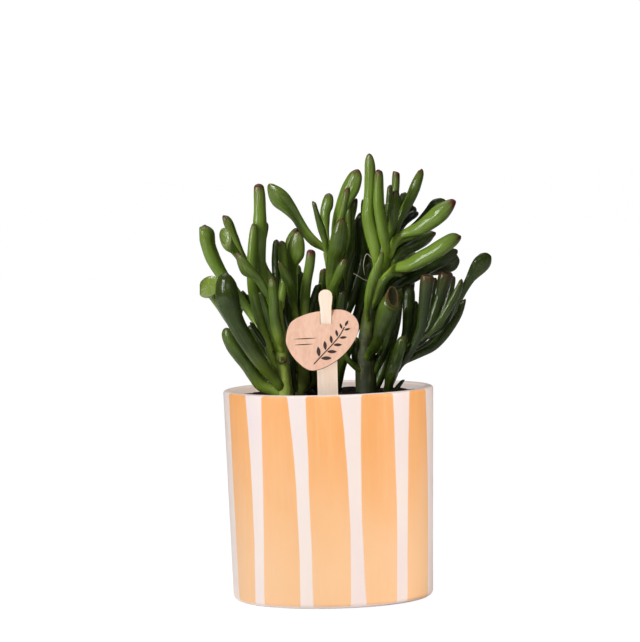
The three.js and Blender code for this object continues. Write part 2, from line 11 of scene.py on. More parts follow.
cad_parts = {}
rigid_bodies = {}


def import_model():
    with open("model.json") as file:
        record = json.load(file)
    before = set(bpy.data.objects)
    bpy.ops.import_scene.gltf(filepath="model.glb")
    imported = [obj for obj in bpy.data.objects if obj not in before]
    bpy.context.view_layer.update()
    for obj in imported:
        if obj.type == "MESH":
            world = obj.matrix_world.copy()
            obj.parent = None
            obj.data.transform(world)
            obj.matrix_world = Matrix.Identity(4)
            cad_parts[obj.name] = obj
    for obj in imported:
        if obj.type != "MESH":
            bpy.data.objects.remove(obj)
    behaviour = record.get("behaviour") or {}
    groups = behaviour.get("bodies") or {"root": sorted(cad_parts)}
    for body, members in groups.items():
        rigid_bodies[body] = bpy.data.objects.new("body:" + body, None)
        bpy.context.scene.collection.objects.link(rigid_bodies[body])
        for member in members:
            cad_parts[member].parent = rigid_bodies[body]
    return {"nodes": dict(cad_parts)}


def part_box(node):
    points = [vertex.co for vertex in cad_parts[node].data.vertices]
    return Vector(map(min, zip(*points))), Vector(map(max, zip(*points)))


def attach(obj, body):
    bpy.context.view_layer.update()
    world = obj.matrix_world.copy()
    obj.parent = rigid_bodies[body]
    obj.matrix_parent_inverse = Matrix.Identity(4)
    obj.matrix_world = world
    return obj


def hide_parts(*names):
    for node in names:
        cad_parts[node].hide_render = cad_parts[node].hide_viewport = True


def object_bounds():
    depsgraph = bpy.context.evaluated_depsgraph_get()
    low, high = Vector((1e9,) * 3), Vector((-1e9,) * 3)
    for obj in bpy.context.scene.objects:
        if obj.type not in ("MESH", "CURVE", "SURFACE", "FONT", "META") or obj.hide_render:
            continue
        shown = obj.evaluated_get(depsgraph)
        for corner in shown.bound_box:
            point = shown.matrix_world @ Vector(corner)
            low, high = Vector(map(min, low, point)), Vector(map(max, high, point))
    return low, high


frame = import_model()
cad_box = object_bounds()

# --- Camera -----------------------------------------------------------------------------------
# A long lens stands nearly two metres in front of the pot, a little above the top of the plant. It
# looks slightly down and is rolled by one and a half degrees.
MM = 0.001
IMAGE_HEIGHT = 642
FOCAL_PIXELS = 3810
SENSOR = 36
CAMERA_AT = Vector((-3.25, -1900, 244.5)) * MM
CAMERA_AIM = Vector((-3.25, 0, 138.44)) * MM
CAMERA_ROLL = math.radians(1.466)
VIEW_DEPTH = 50

forward = (CAMERA_AIM - CAMERA_AT).normalized()
level = forward.cross(Vector((0, 0, 1))).normalized()
upright = level.cross(forward)
rightward = math.cos(CAMERA_ROLL) * level - math.sin(CAMERA_ROLL) * upright
upward = math.sin(CAMERA_ROLL) * level + math.cos(CAMERA_ROLL) * upright
camera_data = bpy.data.cameras.new("camera")
camera_data.sensor_width = SENSOR
camera_data.lens = FOCAL_PIXELS / IMAGE_HEIGHT * SENSOR
camera_data.clip_end = VIEW_DEPTH
camera = bpy.data.objects.new("camera", camera_data)
camera_turn = Matrix((rightward, upward, -forward)).transposed().to_4x4()
camera.matrix_world = Matrix.Translation(CAMERA_AT) @ camera_turn
bpy.context.collection.objects.link(camera)
bpy.context.scene.camera = camera


# --- Studio: lights and sheet -----------------------------------------------------------------
# A tall soft box at the front left lights the plant, with a weak one in front and one above. Four
# more light only the pot and the stick. All of it stands on a white sheet too bright to show an edge.
SHEET_HALF_WIDTH, SHEET_DROP = 12, 0.4 * MM
# The sheet's own white, and how strongly and by what part it glows where it is looked at
SHEET_COLOUR, SHEET_GLOW, SHEET_GLOW_PART = (0.8, 0.8, 0.8, 1), 1.1, 0.9
# How bright the room's white air is as a light, and where it is looked at
AIR_LIGHT, AIR_SEEN = 0.1, 1.05
WARM_LIGHT = (1.0, 0.92, 0.84)
# Each soft box's place, the point that it faces and its width and height, in metres, and its watts
SOFT_BOXES = {
    "left_soft_box": ((-1.05, -0.9, 0.8), (0, 0, 0.15), (0.22, 1.2), 27),
    "front_soft_box": ((0.1, -1.6, 0.9), (0, 0, 0.12), (0.9, 0.6), 2.6),
    "top_soft_box": ((-0.2, 0.35, 1.2), (0, 0, 0.12), (0.7, 0.7), 3),
    "pot_left_soft_box": ((-1.4, -0.7, 0.6), (0, 0, 0.05), (0.6, 0.6), 11.5),
    "pot_front_soft_box": ((0.0, -1.6, 0.6), (0, 0, 0.05), (0.8, 0.6), 5.4),
    "pot_right_soft_box": ((1.4, -0.5, 0.4), (0, 0, 0.05), (0.7, 0.5), 12.5),
    "pot_top_soft_box": ((0, -0.5, 1.3), (0, 0, 0.1), (0.7, 0.7), 4.5),
}


def soft_box(name, place, aim, size, power):
    light = bpy.data.lights.new(name, "AREA")
    light.shape = "RECTANGLE"
    light.size, light.size_y = size
    light.energy = power
    lamp = bpy.data.objects.new(name, light)
    look = (Vector(aim) - Vector(place)).to_track_quat("-Z", "Y").to_matrix()
    lamp.matrix_world = Matrix.Translation(place) @ look.to_4x4()
    bpy.context.collection.objects.link(lamp)
    return lamp


lamps = {name: soft_box(name, *settings) for name, settings in SOFT_BOXES.items()}
lamps["pot_right_soft_box"].data.color = WARM_LIGHT


# A colour Mix node has several sockets of each name, so its two colours and its result go by place
MIX_COLOURS, MIX_RESULT = (6, 7), 2


class Wire:
    """An output of a node. Arithmetic on it adds Math nodes to its graph."""

    def __init__(self, graph, socket):
        self.graph, self.socket = graph, socket

    def __add__(self, other):
        return self.graph.math("ADD", self, other)

    def __sub__(self, other):
        return self.graph.math("SUBTRACT", self, other)

    def __rsub__(self, other):
        return self.graph.math("SUBTRACT", other, self)

    def __mul__(self, other):
        return self.graph.math("MULTIPLY", self, other)

    def __truediv__(self, other):
        return self.graph.math("DIVIDE", self, other)

    __radd__ = __add__
    __rmul__ = __mul__


class Graph:
    """A node tree that is written as expressions."""

    def __init__(self, tree):
        self.tree = tree

    def node(self, kind, settings=None, values=None, out=0):
        made = self.tree.nodes.new(kind)
        for name, value in (settings or {}).items():
            setattr(made, name, value)
        for key, value in (values or {}).items():
            if isinstance(value, Wire):
                self.tree.links.new(value.socket, made.inputs[key])
            else:
                made.inputs[key].default_value = value
        return Wire(self, made.outputs[out])

    def math(self, operation, a, b=0.0):
        return self.node("ShaderNodeMath", {"operation": operation}, {0: a, 1: b})

    def vector(self, operation, a, b):
        last = "Scale" if operation == "SCALE" else 1
        out = "Value" if operation == "DOT_PRODUCT" else "Vector"
        return self.node("ShaderNodeVectorMath", {"operation": operation}, {0: a, last: b}, out)

    def between(self, value, low, high, start=0.0, end=1.0):
        """A soft step: start where the value is low, end where it is high."""
        return self.node("ShaderNodeMapRange", {"interpolation_type": "SMOOTHSTEP"},
                         {0: value, 1: low, 2: high, 3: start, 4: end})

    def noise(self, where, scale, detail=3.0, rough=0.55, seed=0.0):
        return self.node("ShaderNodeTexNoise", {"noise_dimensions": "4D"},
                         {"Vector": where, "W": seed, "Scale": scale, "Detail": detail,
                          "Roughness": rough})


def tint(red, green, blue):
    """A colour in steps from 0 to 255, as the linear values that a shader takes."""
    return tuple(((v / 255 + 0.055) / 1.055) ** 2.4 for v in (red, green, blue))


class Finish(Graph):
    """A material with one surface shader."""

    def __init__(self, name):
        self.material = bpy.data.materials.new(name)
        self.material.use_nodes = True
        super().__init__(self.material.node_tree)
        self.tree.nodes.clear()

    def place(self):
        return self.node("ShaderNodeTexCoord", out="Object")

    def stretched(self, x, y, z):
        return self.node("ShaderNodeMapping", None, {"Vector": self.place(), "Scale": (x, y, z)})

    def held(self, name):
        return self.node("ShaderNodeAttribute", {"attribute_name": name}, out="Fac")

    def mix(self, part, a, b):
        colours = {key: value if isinstance(value, Wire) else (*value, 1)
                   for key, value in zip(MIX_COLOURS, (a, b))}
        return self.node("ShaderNodeMix", {"data_type": "RGBA"}, {0: part, **colours}, MIX_RESULT)

    def bump(self, height, depth, under=None):
        values = {"Height": height, "Strength": 1.0, "Distance": depth}
        if under:
            values["Normal"] = under
        return self.node("ShaderNodeBump", None, values)

    def surface(self, colour, rough, normal=None, **fixed):
        values = {"Base Color": colour if isinstance(colour, Wire) else (*colour, 1), "Roughness": rough}
        if normal:
            values["Normal"] = normal
        values.update({name.replace("_", " "): value for name, value in fixed.items()})
        return self.closed(self.node("ShaderNodeBsdfPrincipled", None, values))

    def closed(self, shader):
        end = self.tree.nodes.new("ShaderNodeOutputMaterial")
        self.tree.links.new(shader.socket, end.inputs["Surface"])
        return self.material


white = Finish("white_sheet")
paper = white.node("ShaderNodeBsdfDiffuse", None, {"Color": SHEET_COLOUR})
glow = white.node("ShaderNodeEmission", None, {"Strength": SHEET_GLOW})
looked_at = white.node("ShaderNodeLightPath", out="Is Camera Ray")
white_or_glow = {0: looked_at * SHEET_GLOW_PART, 1: paper, 2: glow}
sheet_corners = [(SHEET_HALF_WIDTH * x, SHEET_HALF_WIDTH * y, -SHEET_DROP)
                 for x, y in ((-1, -1), (1, -1), (1, 1), (-1, 1))]
sheet_mesh = bpy.data.meshes.new("sheet")
sheet_mesh.from_pydata(sheet_corners, [], [(0, 1, 2, 3)])
sheet_mesh.materials.append(white.closed(white.node("ShaderNodeMixShader", None, white_or_glow)))
sheet = bpy.data.objects.new("sheet", sheet_mesh)
bpy.context.collection.objects.link(sheet)

studio = bpy.data.worlds.new("studio")
studio.use_nodes = True
air = Graph(studio.node_tree)
seen = air.node("ShaderNodeLightPath", out="Is Camera Ray")
backdrop = studio.node_tree.nodes["Background"]
backdrop.inputs["Color"].default_value = (1, 1, 1, 1)
studio.node_tree.links.new(air.between(seen, 0.0, 1.0, AIR_LIGHT, AIR_SEEN).socket,
                           backdrop.inputs["Strength"])
bpy.context.scene.world = studio
bpy.context.scene.view_settings.view_transform = "Standard"

# --- Pot ---------------------------------------------------------------------------------------
# A thrown earthenware pot, slightly wider at the rim, in a satin off-white glaze. Eleven upright
# stripes of thin orange glaze are brushed on by hand, paler towards the foot.
HEIGHT, RIM, FOOT = 105 * MM, 52.5 * MM, 50 * MM
WALL, BASE = 4.5 * MM, 5 * MM
FOOT_ROUND, RIM_ROUND = 3 * MM, 1.4 * MM
TURNS = 256
# The heights between which the stripes fade out at the rim and at the foot, how far their upper
# corners are rounded off, and how blurred and how unsteady their edges are, in degrees
STRIPE_TOP, STRIPE_FOOT = (104.45 * MM, 104.85 * MM), (1.0 * MM, 1.6 * MM)
STRIPE_CORNER, STRIPE_BLUR, STRIPE_WANDER = 0.9, 0.3, 1.6
# Between two stripes, the place where the count of degrees round the pot starts
FIRST_DEGREE = -76.0
PALE_FOOT_ORANGE, FULL_ORANGE, BRUSH_MARK = tint(250, 200, 150), tint(248, 172, 98), tint(252, 214, 160)
COOL_WHITE, WARM_WHITE, INNER_WHITE_PAINTED_LIGHTER = tint(243, 227, 226), tint(248, 233, 225), tint(251, 235, 226)
# Each stripe's left and right edges, in degrees round from the front: at the top, middle and foot
STRIPES = [
    ((-70.0, -70.0, -69.2), (-51.1, -49.1, -50.4)), ((-38.5, -40.8, -42.8), (-22.5, -19.0, -19.2)),
    ((-12.5, -11.9, -11.4), (6.0, 9.8, 9.4)), ((17.5, 16.8, 18.9), (36.6, 38.8, 38.6)),
    ((49.1, 47.6, 46.7), (66.0, 69.8, 68.9)), ((89.0, 88.5, 89.0), (105.5, 107.0, 106.5)),
    ((120.0, 121.0, 120.5), (138.5, 139.5, 141.0)), ((152.5, 151.0, 152.0), (169.0, 172.0, 171.0)),
    ((184.0, 185.5, 184.0), (203.5, 205.0, 204.0)), ((217.0, 216.5, 218.5), (234.5, 236.0, 236.5)),
    ((249.5, 248.0, 247.5), (267.0, 269.5, 268.0)),
]


def arc(cx, cz, r, start, end, steps):
    return [(cx + r * math.cos(math.radians(a)), cz + r * math.sin(math.radians(a)))
            for a in np.linspace(start, end, steps + 1)]


def straight(a, b, steps):
    return [tuple(np.array(a) + (np.array(b) - a) * i / steps) for i in range(1, steps)]


def lathe(name, profile, turns):
    """A closed body from a profile of radius and height that starts and ends on the axis."""
    ring = profile[1:-1]
    angles = np.arange(turns) * math.tau / turns
    points = [(0, 0, profile[0][1])]
    points += [(r * math.sin(a), -r * math.cos(a), z) for r, z in ring for a in angles]
    points.append((0, 0, profile[-1][1]))
    last = len(points) - 1

    def at(i, j):
        return 1 + i * turns + j % turns

    faces = [(0, at(0, j + 1), at(0, j)) for j in range(turns)]
    faces += [(at(i, j), at(i, j + 1), at(i + 1, j + 1), at(i + 1, j))
              for i in range(len(ring) - 1) for j in range(turns)]
    faces += [(last, at(len(ring) - 1, j), at(len(ring) - 1, j + 1)) for j in range(turns)]
    mesh = bpy.data.meshes.new(name)
    mesh.from_pydata(points, [], faces)
    mesh.shade_smooth()
    return mesh


def piece(name, mesh, slot, *nodes):
    """A finished piece that rides on the plant's one body and stands for the CAD nodes named."""
    made = bpy.data.objects.new(name, mesh)
    bpy.context.collection.objects.link(made)
    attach(made, "root")
    if nodes:
        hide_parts(*nodes)
    return made


outer = arc(FOOT - FOOT_ROUND, FOOT_ROUND, FOOT_ROUND, -90, 0, 8)
rim_out = arc(RIM - RIM_ROUND, HEIGHT - RIM_ROUND, RIM_ROUND, 0, 90, 6)
rim_in = arc(RIM - WALL + RIM_ROUND, HEIGHT - RIM_ROUND, RIM_ROUND, 90, 180, 6)
inner = arc(FOOT - WALL - FOOT_ROUND, BASE + FOOT_ROUND, FOOT_ROUND, 0, -90, 6)
profile = [(0, 0), *straight((0, 0), outer[0], 6), *outer, *straight(outer[-1], rim_out[0], 30), *rim_out,
           *rim_in, *straight(rim_in[-1], inner[0], 16), *inner, (0, BASE)]

glaze = Finish("striped_glaze")
xyz = glaze.node("ShaderNodeSeparateXYZ", None, {0: glaze.place()})
side_x, side_y, height = (Wire(glaze, xyz.socket.node.outputs[i]) for i in range(3))
up_pot = height / HEIGHT
unsteady = glaze.noise(glaze.stretched(1, 1, 0.25), 90, 2.0, seed=3) - 0.5
turned = glaze.math("ARCTAN2", side_x, side_y * -1.0) * math.degrees(1)
turned = turned + glaze.math("LESS_THAN", turned, FIRST_DEGREE) * 360.0 + unsteady * STRIPE_WANDER


def stripe_edge(top, middle, foot):
    """The degrees round the pot of a stripe's bent edge, at every height."""
    bend = 2 * (top + foot - 2 * middle)
    return (up_pot * bend + (top - foot - bend)) * up_pot + foot


def stripe(left, right):
    """One within a stripe and zero outside it, with rounded upper corners."""
    start, end = stripe_edge(*left), stripe_edge(*right)
    aside = glaze.math("ABSOLUTE", (turned - (start + end) * 0.5) / ((end - start) * 0.5))
    corner = glaze.math("POWER", aside, 20.0) * STRIPE_CORNER * MM
    inside = glaze.between(turned - start, -STRIPE_BLUR, STRIPE_BLUR)
    inside = inside * glaze.between(end - turned, -STRIPE_BLUR, STRIPE_BLUR)
    return inside * glaze.between(height + corner + unsteady * 0.5 * MM, *STRIPE_TOP, 1.0, 0.0)


striped = stripe(*STRIPES[0])
for edges in STRIPES[1:]:
    striped = striped + stripe(*edges)
outward = glaze.vector("MULTIPLY", glaze.place(), (1, 1, 0))
outside = glaze.vector("DOT_PRODUCT", glaze.node("ShaderNodeNewGeometry", out="Normal"), outward)
within = glaze.between(outside, 0.0, 0.01, 1.0, 0.0)
striped = striped * (1.0 - within) * glaze.between(height, *STRIPE_FOOT)
brushed = glaze.noise(glaze.stretched(1, 1, 0.06), 260, 4.0, 0.6, seed=8)
washed = glaze.noise(glaze.stretched(1, 1, 0.5), 28, 3.0, seed=5)
# The orange grows paler towards the foot, in uneven patches.
fuller_upward = glaze.between(up_pot + (washed - 0.5) * 0.7 + (brushed - 0.5) * 0.35, 0.15, 0.95)
orange = glaze.mix(fuller_upward, PALE_FOOT_ORANGE, FULL_ORANGE)
orange = glaze.mix(glaze.between(brushed, 0.35, 0.75) * 0.25, orange, BRUSH_MARK)
white_glaze = glaze.mix(glaze.between(washed, 0.3, 0.7), COOL_WHITE, WARM_WHITE)
# Painted light: the inside wall takes a slightly paler white that offsets the shade inside the pot.
white_glaze = glaze.mix(within, white_glaze, INNER_WHITE_PAINTED_LIGHTER)
colour = glaze.mix(striped * glaze.between(brushed, 0.2, 0.5, 0.93, 1.0), white_glaze, orange)
unevenness = glaze.bump(glaze.noise(glaze.place(), 45, 2.0, seed=1), 0.5 * MM)
unevenness = glaze.bump(striped + brushed * 0.4, 0.03 * MM, unevenness)
pot_glaze = glaze.surface(colour, 0.36 + washed * 0.1, unevenness, IOR=1.5, Coat_Weight=0.15)

pot_mesh = lathe("striped_pot", profile, TURNS)
pot_mesh.materials.append(pot_glaze)
pot = piece("striped_pot", pot_mesh, "pot_glaze", "pot")
by_pot_lamps = bpy.data.collections.new("by_pot_lamps")
by_plant_key = bpy.data.collections.new("by_plant_key")
for name, lamp in lamps.items():
    if name.startswith("pot_"):
        lamp.light_linking.receiver_collection = by_pot_lamps
        lamp.light_linking.blocker_collection = by_pot_lamps
lamps["left_soft_box"].light_linking.receiver_collection = by_plant_key


def lit_with_pot(made):
    """Light a piece by the pot's lamps and not by the plant's key light."""
    by_pot_lamps.objects.link(made)
    by_plant_key.objects.link(made)
    by_plant_key.collection_objects[len(by_plant_key.objects) - 1].light_linking.link_state = "EXCLUDE"


lit_with_pot(pot)


# --- Potting soil --------------------------------------------------------------------------------
# Moist, nearly black potting mix fills the pot to just under its rim. Loose crumbs of peat lie on
# the pressed bed, with splinters of bark and a few white grains of perlite.
SOIL_GAP, SOIL_CROWN = 0.3 * MM, 0.6 * MM
SOIL_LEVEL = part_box("potting_soil")[1][2] - SOIL_CROWN
SOIL_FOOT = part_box("potting_soil")[0][2]
SOIL_RADIUS = RIM - WALL - SOIL_GAP
SOIL_TURNS, SOIL_RINGS = 150, 40
CLOD, CLOD_SIZE, CRUMB, CRUMB_SIZE = 1.0 * MM, 9 * MM, 0.4 * MM, 2.4 * MM
SOIL_DARK, SOIL_LIGHT = (18, 12, 10), (52, 37, 28)
GRAIN_RADIUS, GRAIN_TILT, GRAIN_TEAR, GRAIN_MARGIN = 0.5 * MM, 0.6, 0.7 * MM, 1.6 * MM
# Each kind's grains per square metre, smallest and largest lengths along three axes, and colours
GRAINS = {
    "peat_crumbs": (260000, (0.4, 0.4, 0.3), (1.3, 1.1, 0.8), (22, 15, 12), (62, 44, 33)),
    "bark_splinters": (11000, (0.4, 1.0, 0.2), (0.9, 3.2, 0.4), (58, 38, 26), (112, 78, 52)),
    "perlite": (3000, (0.5, 0.5, 0.4), (1.1, 0.9, 0.8), (205, 202, 196), (240, 238, 232)),
}


def earth(name, dark, light):
    ground = Finish(name)
    lumps = ground.noise(ground.place(), 700, 4.0, 0.65, seed=2)
    shade = ground.held("shade") * 0.6 + lumps * 0.7
    colour = ground.mix(ground.between(shade, 0.3, 1.1), tint(*dark), tint(*light))
    rough = ground.bump(lumps, 0.5 * MM)
    rough = ground.bump(ground.noise(ground.place(), 1900, 3.0, seed=4), 0.3 * MM, rough)
    return ground.surface(colour, 0.95 - lumps * 0.3, rough, IOR=1.25)


class Growth(Graph):
    """A Geometry Nodes tree with named inputs, run on a mesh to make a plain mesh."""

    def __init__(self, name, **inputs):
        super().__init__(bpy.data.node_groups.new(name, "GeometryNodeTree"))
        self.tree.is_modifier = True
        self.keys = {}
        for label, kind in inputs.items():
            socket = self.tree.interface.new_socket(label, in_out="INPUT",
                                                    socket_type="NodeSocket" + kind)
            self.keys[label] = socket.identifier
        self.tree.interface.new_socket("Result", in_out="OUTPUT", socket_type="NodeSocketGeometry")
        self.given = self.tree.nodes.new("NodeGroupInput")

    def take(self, label):
        return Wire(self, self.given.outputs[label])

    def keep(self, geometry, name, value, kind="FLOAT", domain="POINT"):
        return self.node("GeometryNodeStoreNamedAttribute", {"data_type": kind, "domain": domain},
                         {"Geometry": geometry, "Name": name, "Value": value})

    def push(self, geometry, offset):
        return self.node("GeometryNodeSetPosition", None, {"Geometry": geometry, "Offset": offset})

    def real(self, geometry):
        return self.node("GeometryNodeRealizeInstances", None, {"Geometry": geometry})

    def finish(self, geometry, material):
        """End the tree with the geometry in its material."""
        geometry = self.node("GeometryNodeSetMaterial", None, {"Geometry": geometry, "Material": material})
        out = self.tree.nodes.new("NodeGroupOutput")
        self.tree.links.new(geometry.socket, out.inputs[0])

    def run(self, name, mesh, **values):
        """The plain mesh that the tree makes of a mesh."""
        holder = bpy.data.objects.new(name + "_start", mesh)
        bpy.context.collection.objects.link(holder)
        modifier = holder.modifiers.new("grow", "NODES")
        modifier.node_group = self.tree
        for label, value in values.items():
            modifier[self.keys[label]] = value
        settled = bpy.context.evaluated_depsgraph_get()
        result = bpy.data.meshes.new_from_object(holder.evaluated_get(settled),
                                                 preserve_all_data_layers=True, depsgraph=settled)
        holder.modifiers.remove(modifier)
        bpy.data.objects.remove(holder)
        result.name = name
        return result


def scattered_grains():
    """A tree that strews one kind of grain over the upper side of a bed."""
    g = Growth("scattered_grains", Bed="Geometry", Density="Float", Reach="Float", Smallest="Vector",
               Largest="Vector", Seed="Int", Earth="Material")
    seed = g.take("Seed")

    # A Random Value node has a pair of limits for each kind of value, so the limits go by place
    def random_vector(low, high, extra):
        return g.node("FunctionNodeRandomValue", {"data_type": "FLOAT_VECTOR"},
                      {0: low, 1: high, "Seed": seed + extra})

    facing = g.node("ShaderNodeSeparateXYZ", None, {0: g.node("GeometryNodeInputNormal")}, "Z")
    flat_place = g.vector("MULTIPLY", g.node("GeometryNodeInputPosition"), (1, 1, 0))
    far = g.node("ShaderNodeVectorMath", {"operation": "LENGTH"}, {0: flat_place}, "Value")
    chosen = g.math("GREATER_THAN", facing, 0.5) * g.math("LESS_THAN", far, g.take("Reach"))
    spots = g.node("GeometryNodeDistributePointsOnFaces", None, {
        "Mesh": g.take("Bed"), "Selection": chosen, "Density": g.take("Density"), "Seed": seed})
    grain = g.node("GeometryNodeMeshIcoSphere", None, {"Radius": GRAIN_RADIUS, "Subdivisions": 1})
    laid = g.node("GeometryNodeInstanceOnPoints", None, {
        "Points": spots, "Instance": grain,
        "Rotation": random_vector((-GRAIN_TILT, -GRAIN_TILT, 0), (GRAIN_TILT, GRAIN_TILT, math.tau), 1),
        "Scale": random_vector(g.take("Smallest"), g.take("Largest"), 2)})
    shade = g.node("FunctionNodeRandomValue", {"data_type": "FLOAT"}, {2: 0.0, 3: 1.0, "Seed": seed + 3}, 1)
    laid = g.real(g.keep(laid, "shade", shade, domain="INSTANCE"))
    torn = g.node("ShaderNodeTexNoise", None, {"Scale": 1400.0, "Detail": 1.0}, "Color")
    torn = g.vector("SCALE", g.vector("SUBTRACT", torn, (0.5, 0.5, 0.5)), GRAIN_TEAR)
    g.finish(g.push(laid, torn), g.take("Earth"))
    return g


bed_rings = [(SOIL_RADIUS * i / SOIL_RINGS, SOIL_LEVEL) for i in range(SOIL_RINGS, 0, -1)]
soil_profile = [(0, SOIL_FOOT), (FOOT - WALL - FOOT_ROUND, SOIL_FOOT), *bed_rings, (0, SOIL_LEVEL)]
soil_mesh = lathe("soil_bed", soil_profile, SOIL_TURNS)
for vertex in soil_mesh.vertices:
    spot = vertex.co
    inner_part = 1 - (math.hypot(spot.x, spot.y) / SOIL_RADIUS) ** 2
    if spot.z > SOIL_LEVEL - MM:
        spot.z += SOIL_CROWN * inner_part + CLOD * lumpy.noise(spot / CLOD_SIZE)
        spot.z += CRUMB * lumpy.noise(spot / CRUMB_SIZE)
soil_mesh.materials.append(earth("soil_bed", SOIL_DARK, SOIL_LIGHT))
piece("soil_bed", soil_mesh, "potting_soil", "potting_soil")
scatter = scattered_grains()
for seed, (name, (density, smallest, largest, dark, light)) in enumerate(GRAINS.items()):
    grains = scatter.run(name, soil_mesh.copy(), Density=float(density), Reach=SOIL_RADIUS - GRAIN_MARGIN,
                         Smallest=smallest, Largest=largest, Seed=10 * seed,
                         Earth=earth(name, dark, light))
    piece(name, grains, "potting_soil")


# --- Shoots: stems and leaves --------------------------------------------------------------------
# The plant is soft living tissue: a stem or leaf is a round, slightly flattened rod of changing
# width. Its skin is grown over stations along it, each an oval of a centre, an up and a side.
WELD, SAME_PLACE = 0.004 * MM, 0.002 * MM


def grown_skin():
    """A tree that grows a skin of so many sides over the stations that lie along lines."""
    g = Growth("grown_skin", Stations="Geometry", Sides="Int", Waviness="Float", Wave_Scale="Float",
               Seed="Float", Skin="Material")

    def read(name, kind="FLOAT_VECTOR"):
        return g.node("GeometryNodeInputNamedAttribute", {"data_type": kind}, {"Name": name})

    line = g.node("GeometryNodeMeshToCurve", None, {0: g.take("Stations")})
    line = g.keep(line, "centre", g.node("GeometryNodeInputPosition"), "FLOAT_VECTOR")
    hoop = g.node("GeometryNodeCurvePrimitiveCircle", None, {"Resolution": g.take("Sides")})
    hoop = g.keep(hoop, "round", g.node("GeometryNodeSplineParameter"))
    tube = g.node("GeometryNodeCurveToMesh", None, {"Curve": line, "Profile Curve": hoop})
    angle = read("round", "FLOAT") * math.tau
    sine, cosine = g.math("SINE", angle), g.math("COSINE", angle)
    spot = g.vector("SCALE", read("side"), sine)
    spot = g.vector("ADD", spot, g.vector("SCALE", read("up"), cosine))
    spot = g.vector("ADD", spot, read("centre"))
    tube = g.node("GeometryNodeSetPosition", None, {"Geometry": tube, "Position": spot})
    tube = g.keep(g.keep(tube, "edge", sine), "top", cosine)
    tube = g.node("GeometryNodeMergeByDistance", None, {"Geometry": tube, "Distance": WELD})
    wave = g.noise(g.node("GeometryNodeInputPosition"), g.take("Wave_Scale"), 1.5, seed=g.take("Seed"))
    wave = (wave - 0.5) * g.take("Waviness")
    tube = g.push(tube, g.vector("SCALE", g.node("GeometryNodeInputNormal"), wave))
    tube = g.node("GeometryNodeSetShadeSmooth", None, {"Geometry": tube})
    g.finish(g.real(tube), g.take("Skin"))
    return g


SKIN_GROWTH = grown_skin()


def grow(name, shoots, sides, waviness, wave_scale, seed, skin):
    """One mesh from shoots. Each is a list of stations with numbers kept on them by name."""
    points, edges, kept = [], [], {}
    for stations, numbers in shoots:
        first = len(points)
        points += [tuple(row[:3]) for row in stations]
        edges += [(first + i, first + i + 1) for i in range(len(stations) - 1)]
        for key, values in numbers.items():
            kept.setdefault(key, []).extend(np.broadcast_to(values, len(stations)))
        for key, start in (("up", 3), ("side", 6)):
            kept.setdefault(key, []).extend(stations[:, start:start + 3].ravel())
    mesh = bpy.data.meshes.new(name + "_line")
    mesh.from_pydata(points, edges, [])
    for key, values in kept.items():
        kind, field = ("FLOAT_VECTOR", "vector") if key in ("up", "side") else ("FLOAT", "value")
        mesh.attributes.new(key, kind, "POINT").data.foreach_set(field, np.array(values, np.float32))
    grown = SKIN_GROWTH.run(name, mesh, Sides=sides, Waviness=waviness, Wave_Scale=wave_scale, Seed=seed,
                            Skin=skin)
    for key in ("up", "side", "centre", "round"):
        grown.attributes.remove(grown.attributes[key])
    where = np.empty(len(grown.vertices) * 3, np.float32)
    grown.vertices.foreach_get("co", where)
    where = np.clip(where.reshape(-1, 3), cad_box[0], cad_box[1])
    grown.vertices.foreach_set("co", where.ravel())
    return grown


def flow(rows, amounts):
    """Rows of numbers read smoothly at amounts from 0 to 1 of the way over them."""
    rows = np.asarray(rows, float)
    steps = np.linalg.norm(np.diff(rows, axis=0), axis=1)
    knots = np.concatenate([[0], np.cumsum(steps)]) / steps.sum()
    slopes = np.gradient(rows, knots, axis=0)
    i = np.clip(np.searchsorted(knots, amounts, side="right") - 1, 0, len(rows) - 2)
    span = (knots[i + 1] - knots[i])[:, None]
    t = (np.asarray(amounts) - knots[i])[:, None] / span
    return ((1 + 2 * t) * (1 - t) ** 2 * rows[i] + t * (1 - t) ** 2 * span * slopes[i]
            + t * t * (3 - 2 * t) * rows[i + 1] + t * t * (t - 1) * span * slopes[i + 1])


def unit(v):
    return v / np.linalg.norm(v, axis=-1, keepdims=True)


def rings_of(node, sides, near):
    """A CAD shoot's poles and rings, from its end nearest to any of the places. A ring is a station."""
    mesh = frame["nodes"][node].data
    corners = np.array([v.co for v in mesh.vertices])
    _, first, same = np.unique(np.round(corners / SAME_PLACE), axis=0,
                               return_index=True, return_inverse=True)
    same = same.ravel()
    joined = {i: set() for i in range(len(first))}
    for face in mesh.polygons:
        a, b, c = (same[v] for v in face.vertices)
        joined[a] |= {b, c}
        joined[b] |= {a, c}
        joined[c] |= {a, b}
    place = corners[first]
    poles = [i for i in joined if len(joined[i]) == sides]
    start = min(poles, key=lambda i: np.linalg.norm(place[i] - near, axis=-1).min())
    ring = [min(joined[start])]
    while len(ring) < sides:
        ring.append(next(i for i in joined[ring[-1]] & joined[start] if i not in ring))
    seen_points = {start, *ring}
    beyond = [i for r in ring for i in joined[r] if i not in seen_points]
    ahead = place[beyond].mean(axis=0) - place[ring].mean(axis=0)
    spin = sum(np.cross(place[ring[i - 1]] - place[start], place[ring[i]] - place[start])
               for i in range(sides))
    if spin @ ahead < 0:
        ring.reverse()
    rings = [ring]
    while True:
        ring = [(joined[ring[j]] & joined[ring[j - 1]]) - seen_points for j in range(sides)]
        if any(len(found) != 1 for found in ring) or len(set.union(*ring)) < sides:
            break
        ring = [found.pop() for found in ring]
        seen_points |= set(ring)
        rings.append(ring)
    angles = np.arange(sides) * math.tau / sides
    stations = [np.concatenate([place[r].mean(axis=0), 2 / sides * np.cos(angles) @ place[r],
                                2 / sides * np.sin(angles) @ place[r]]) for r in rings]
    end = next(i for i in poles if i != start)
    return place[start], np.array(stations), place[end]


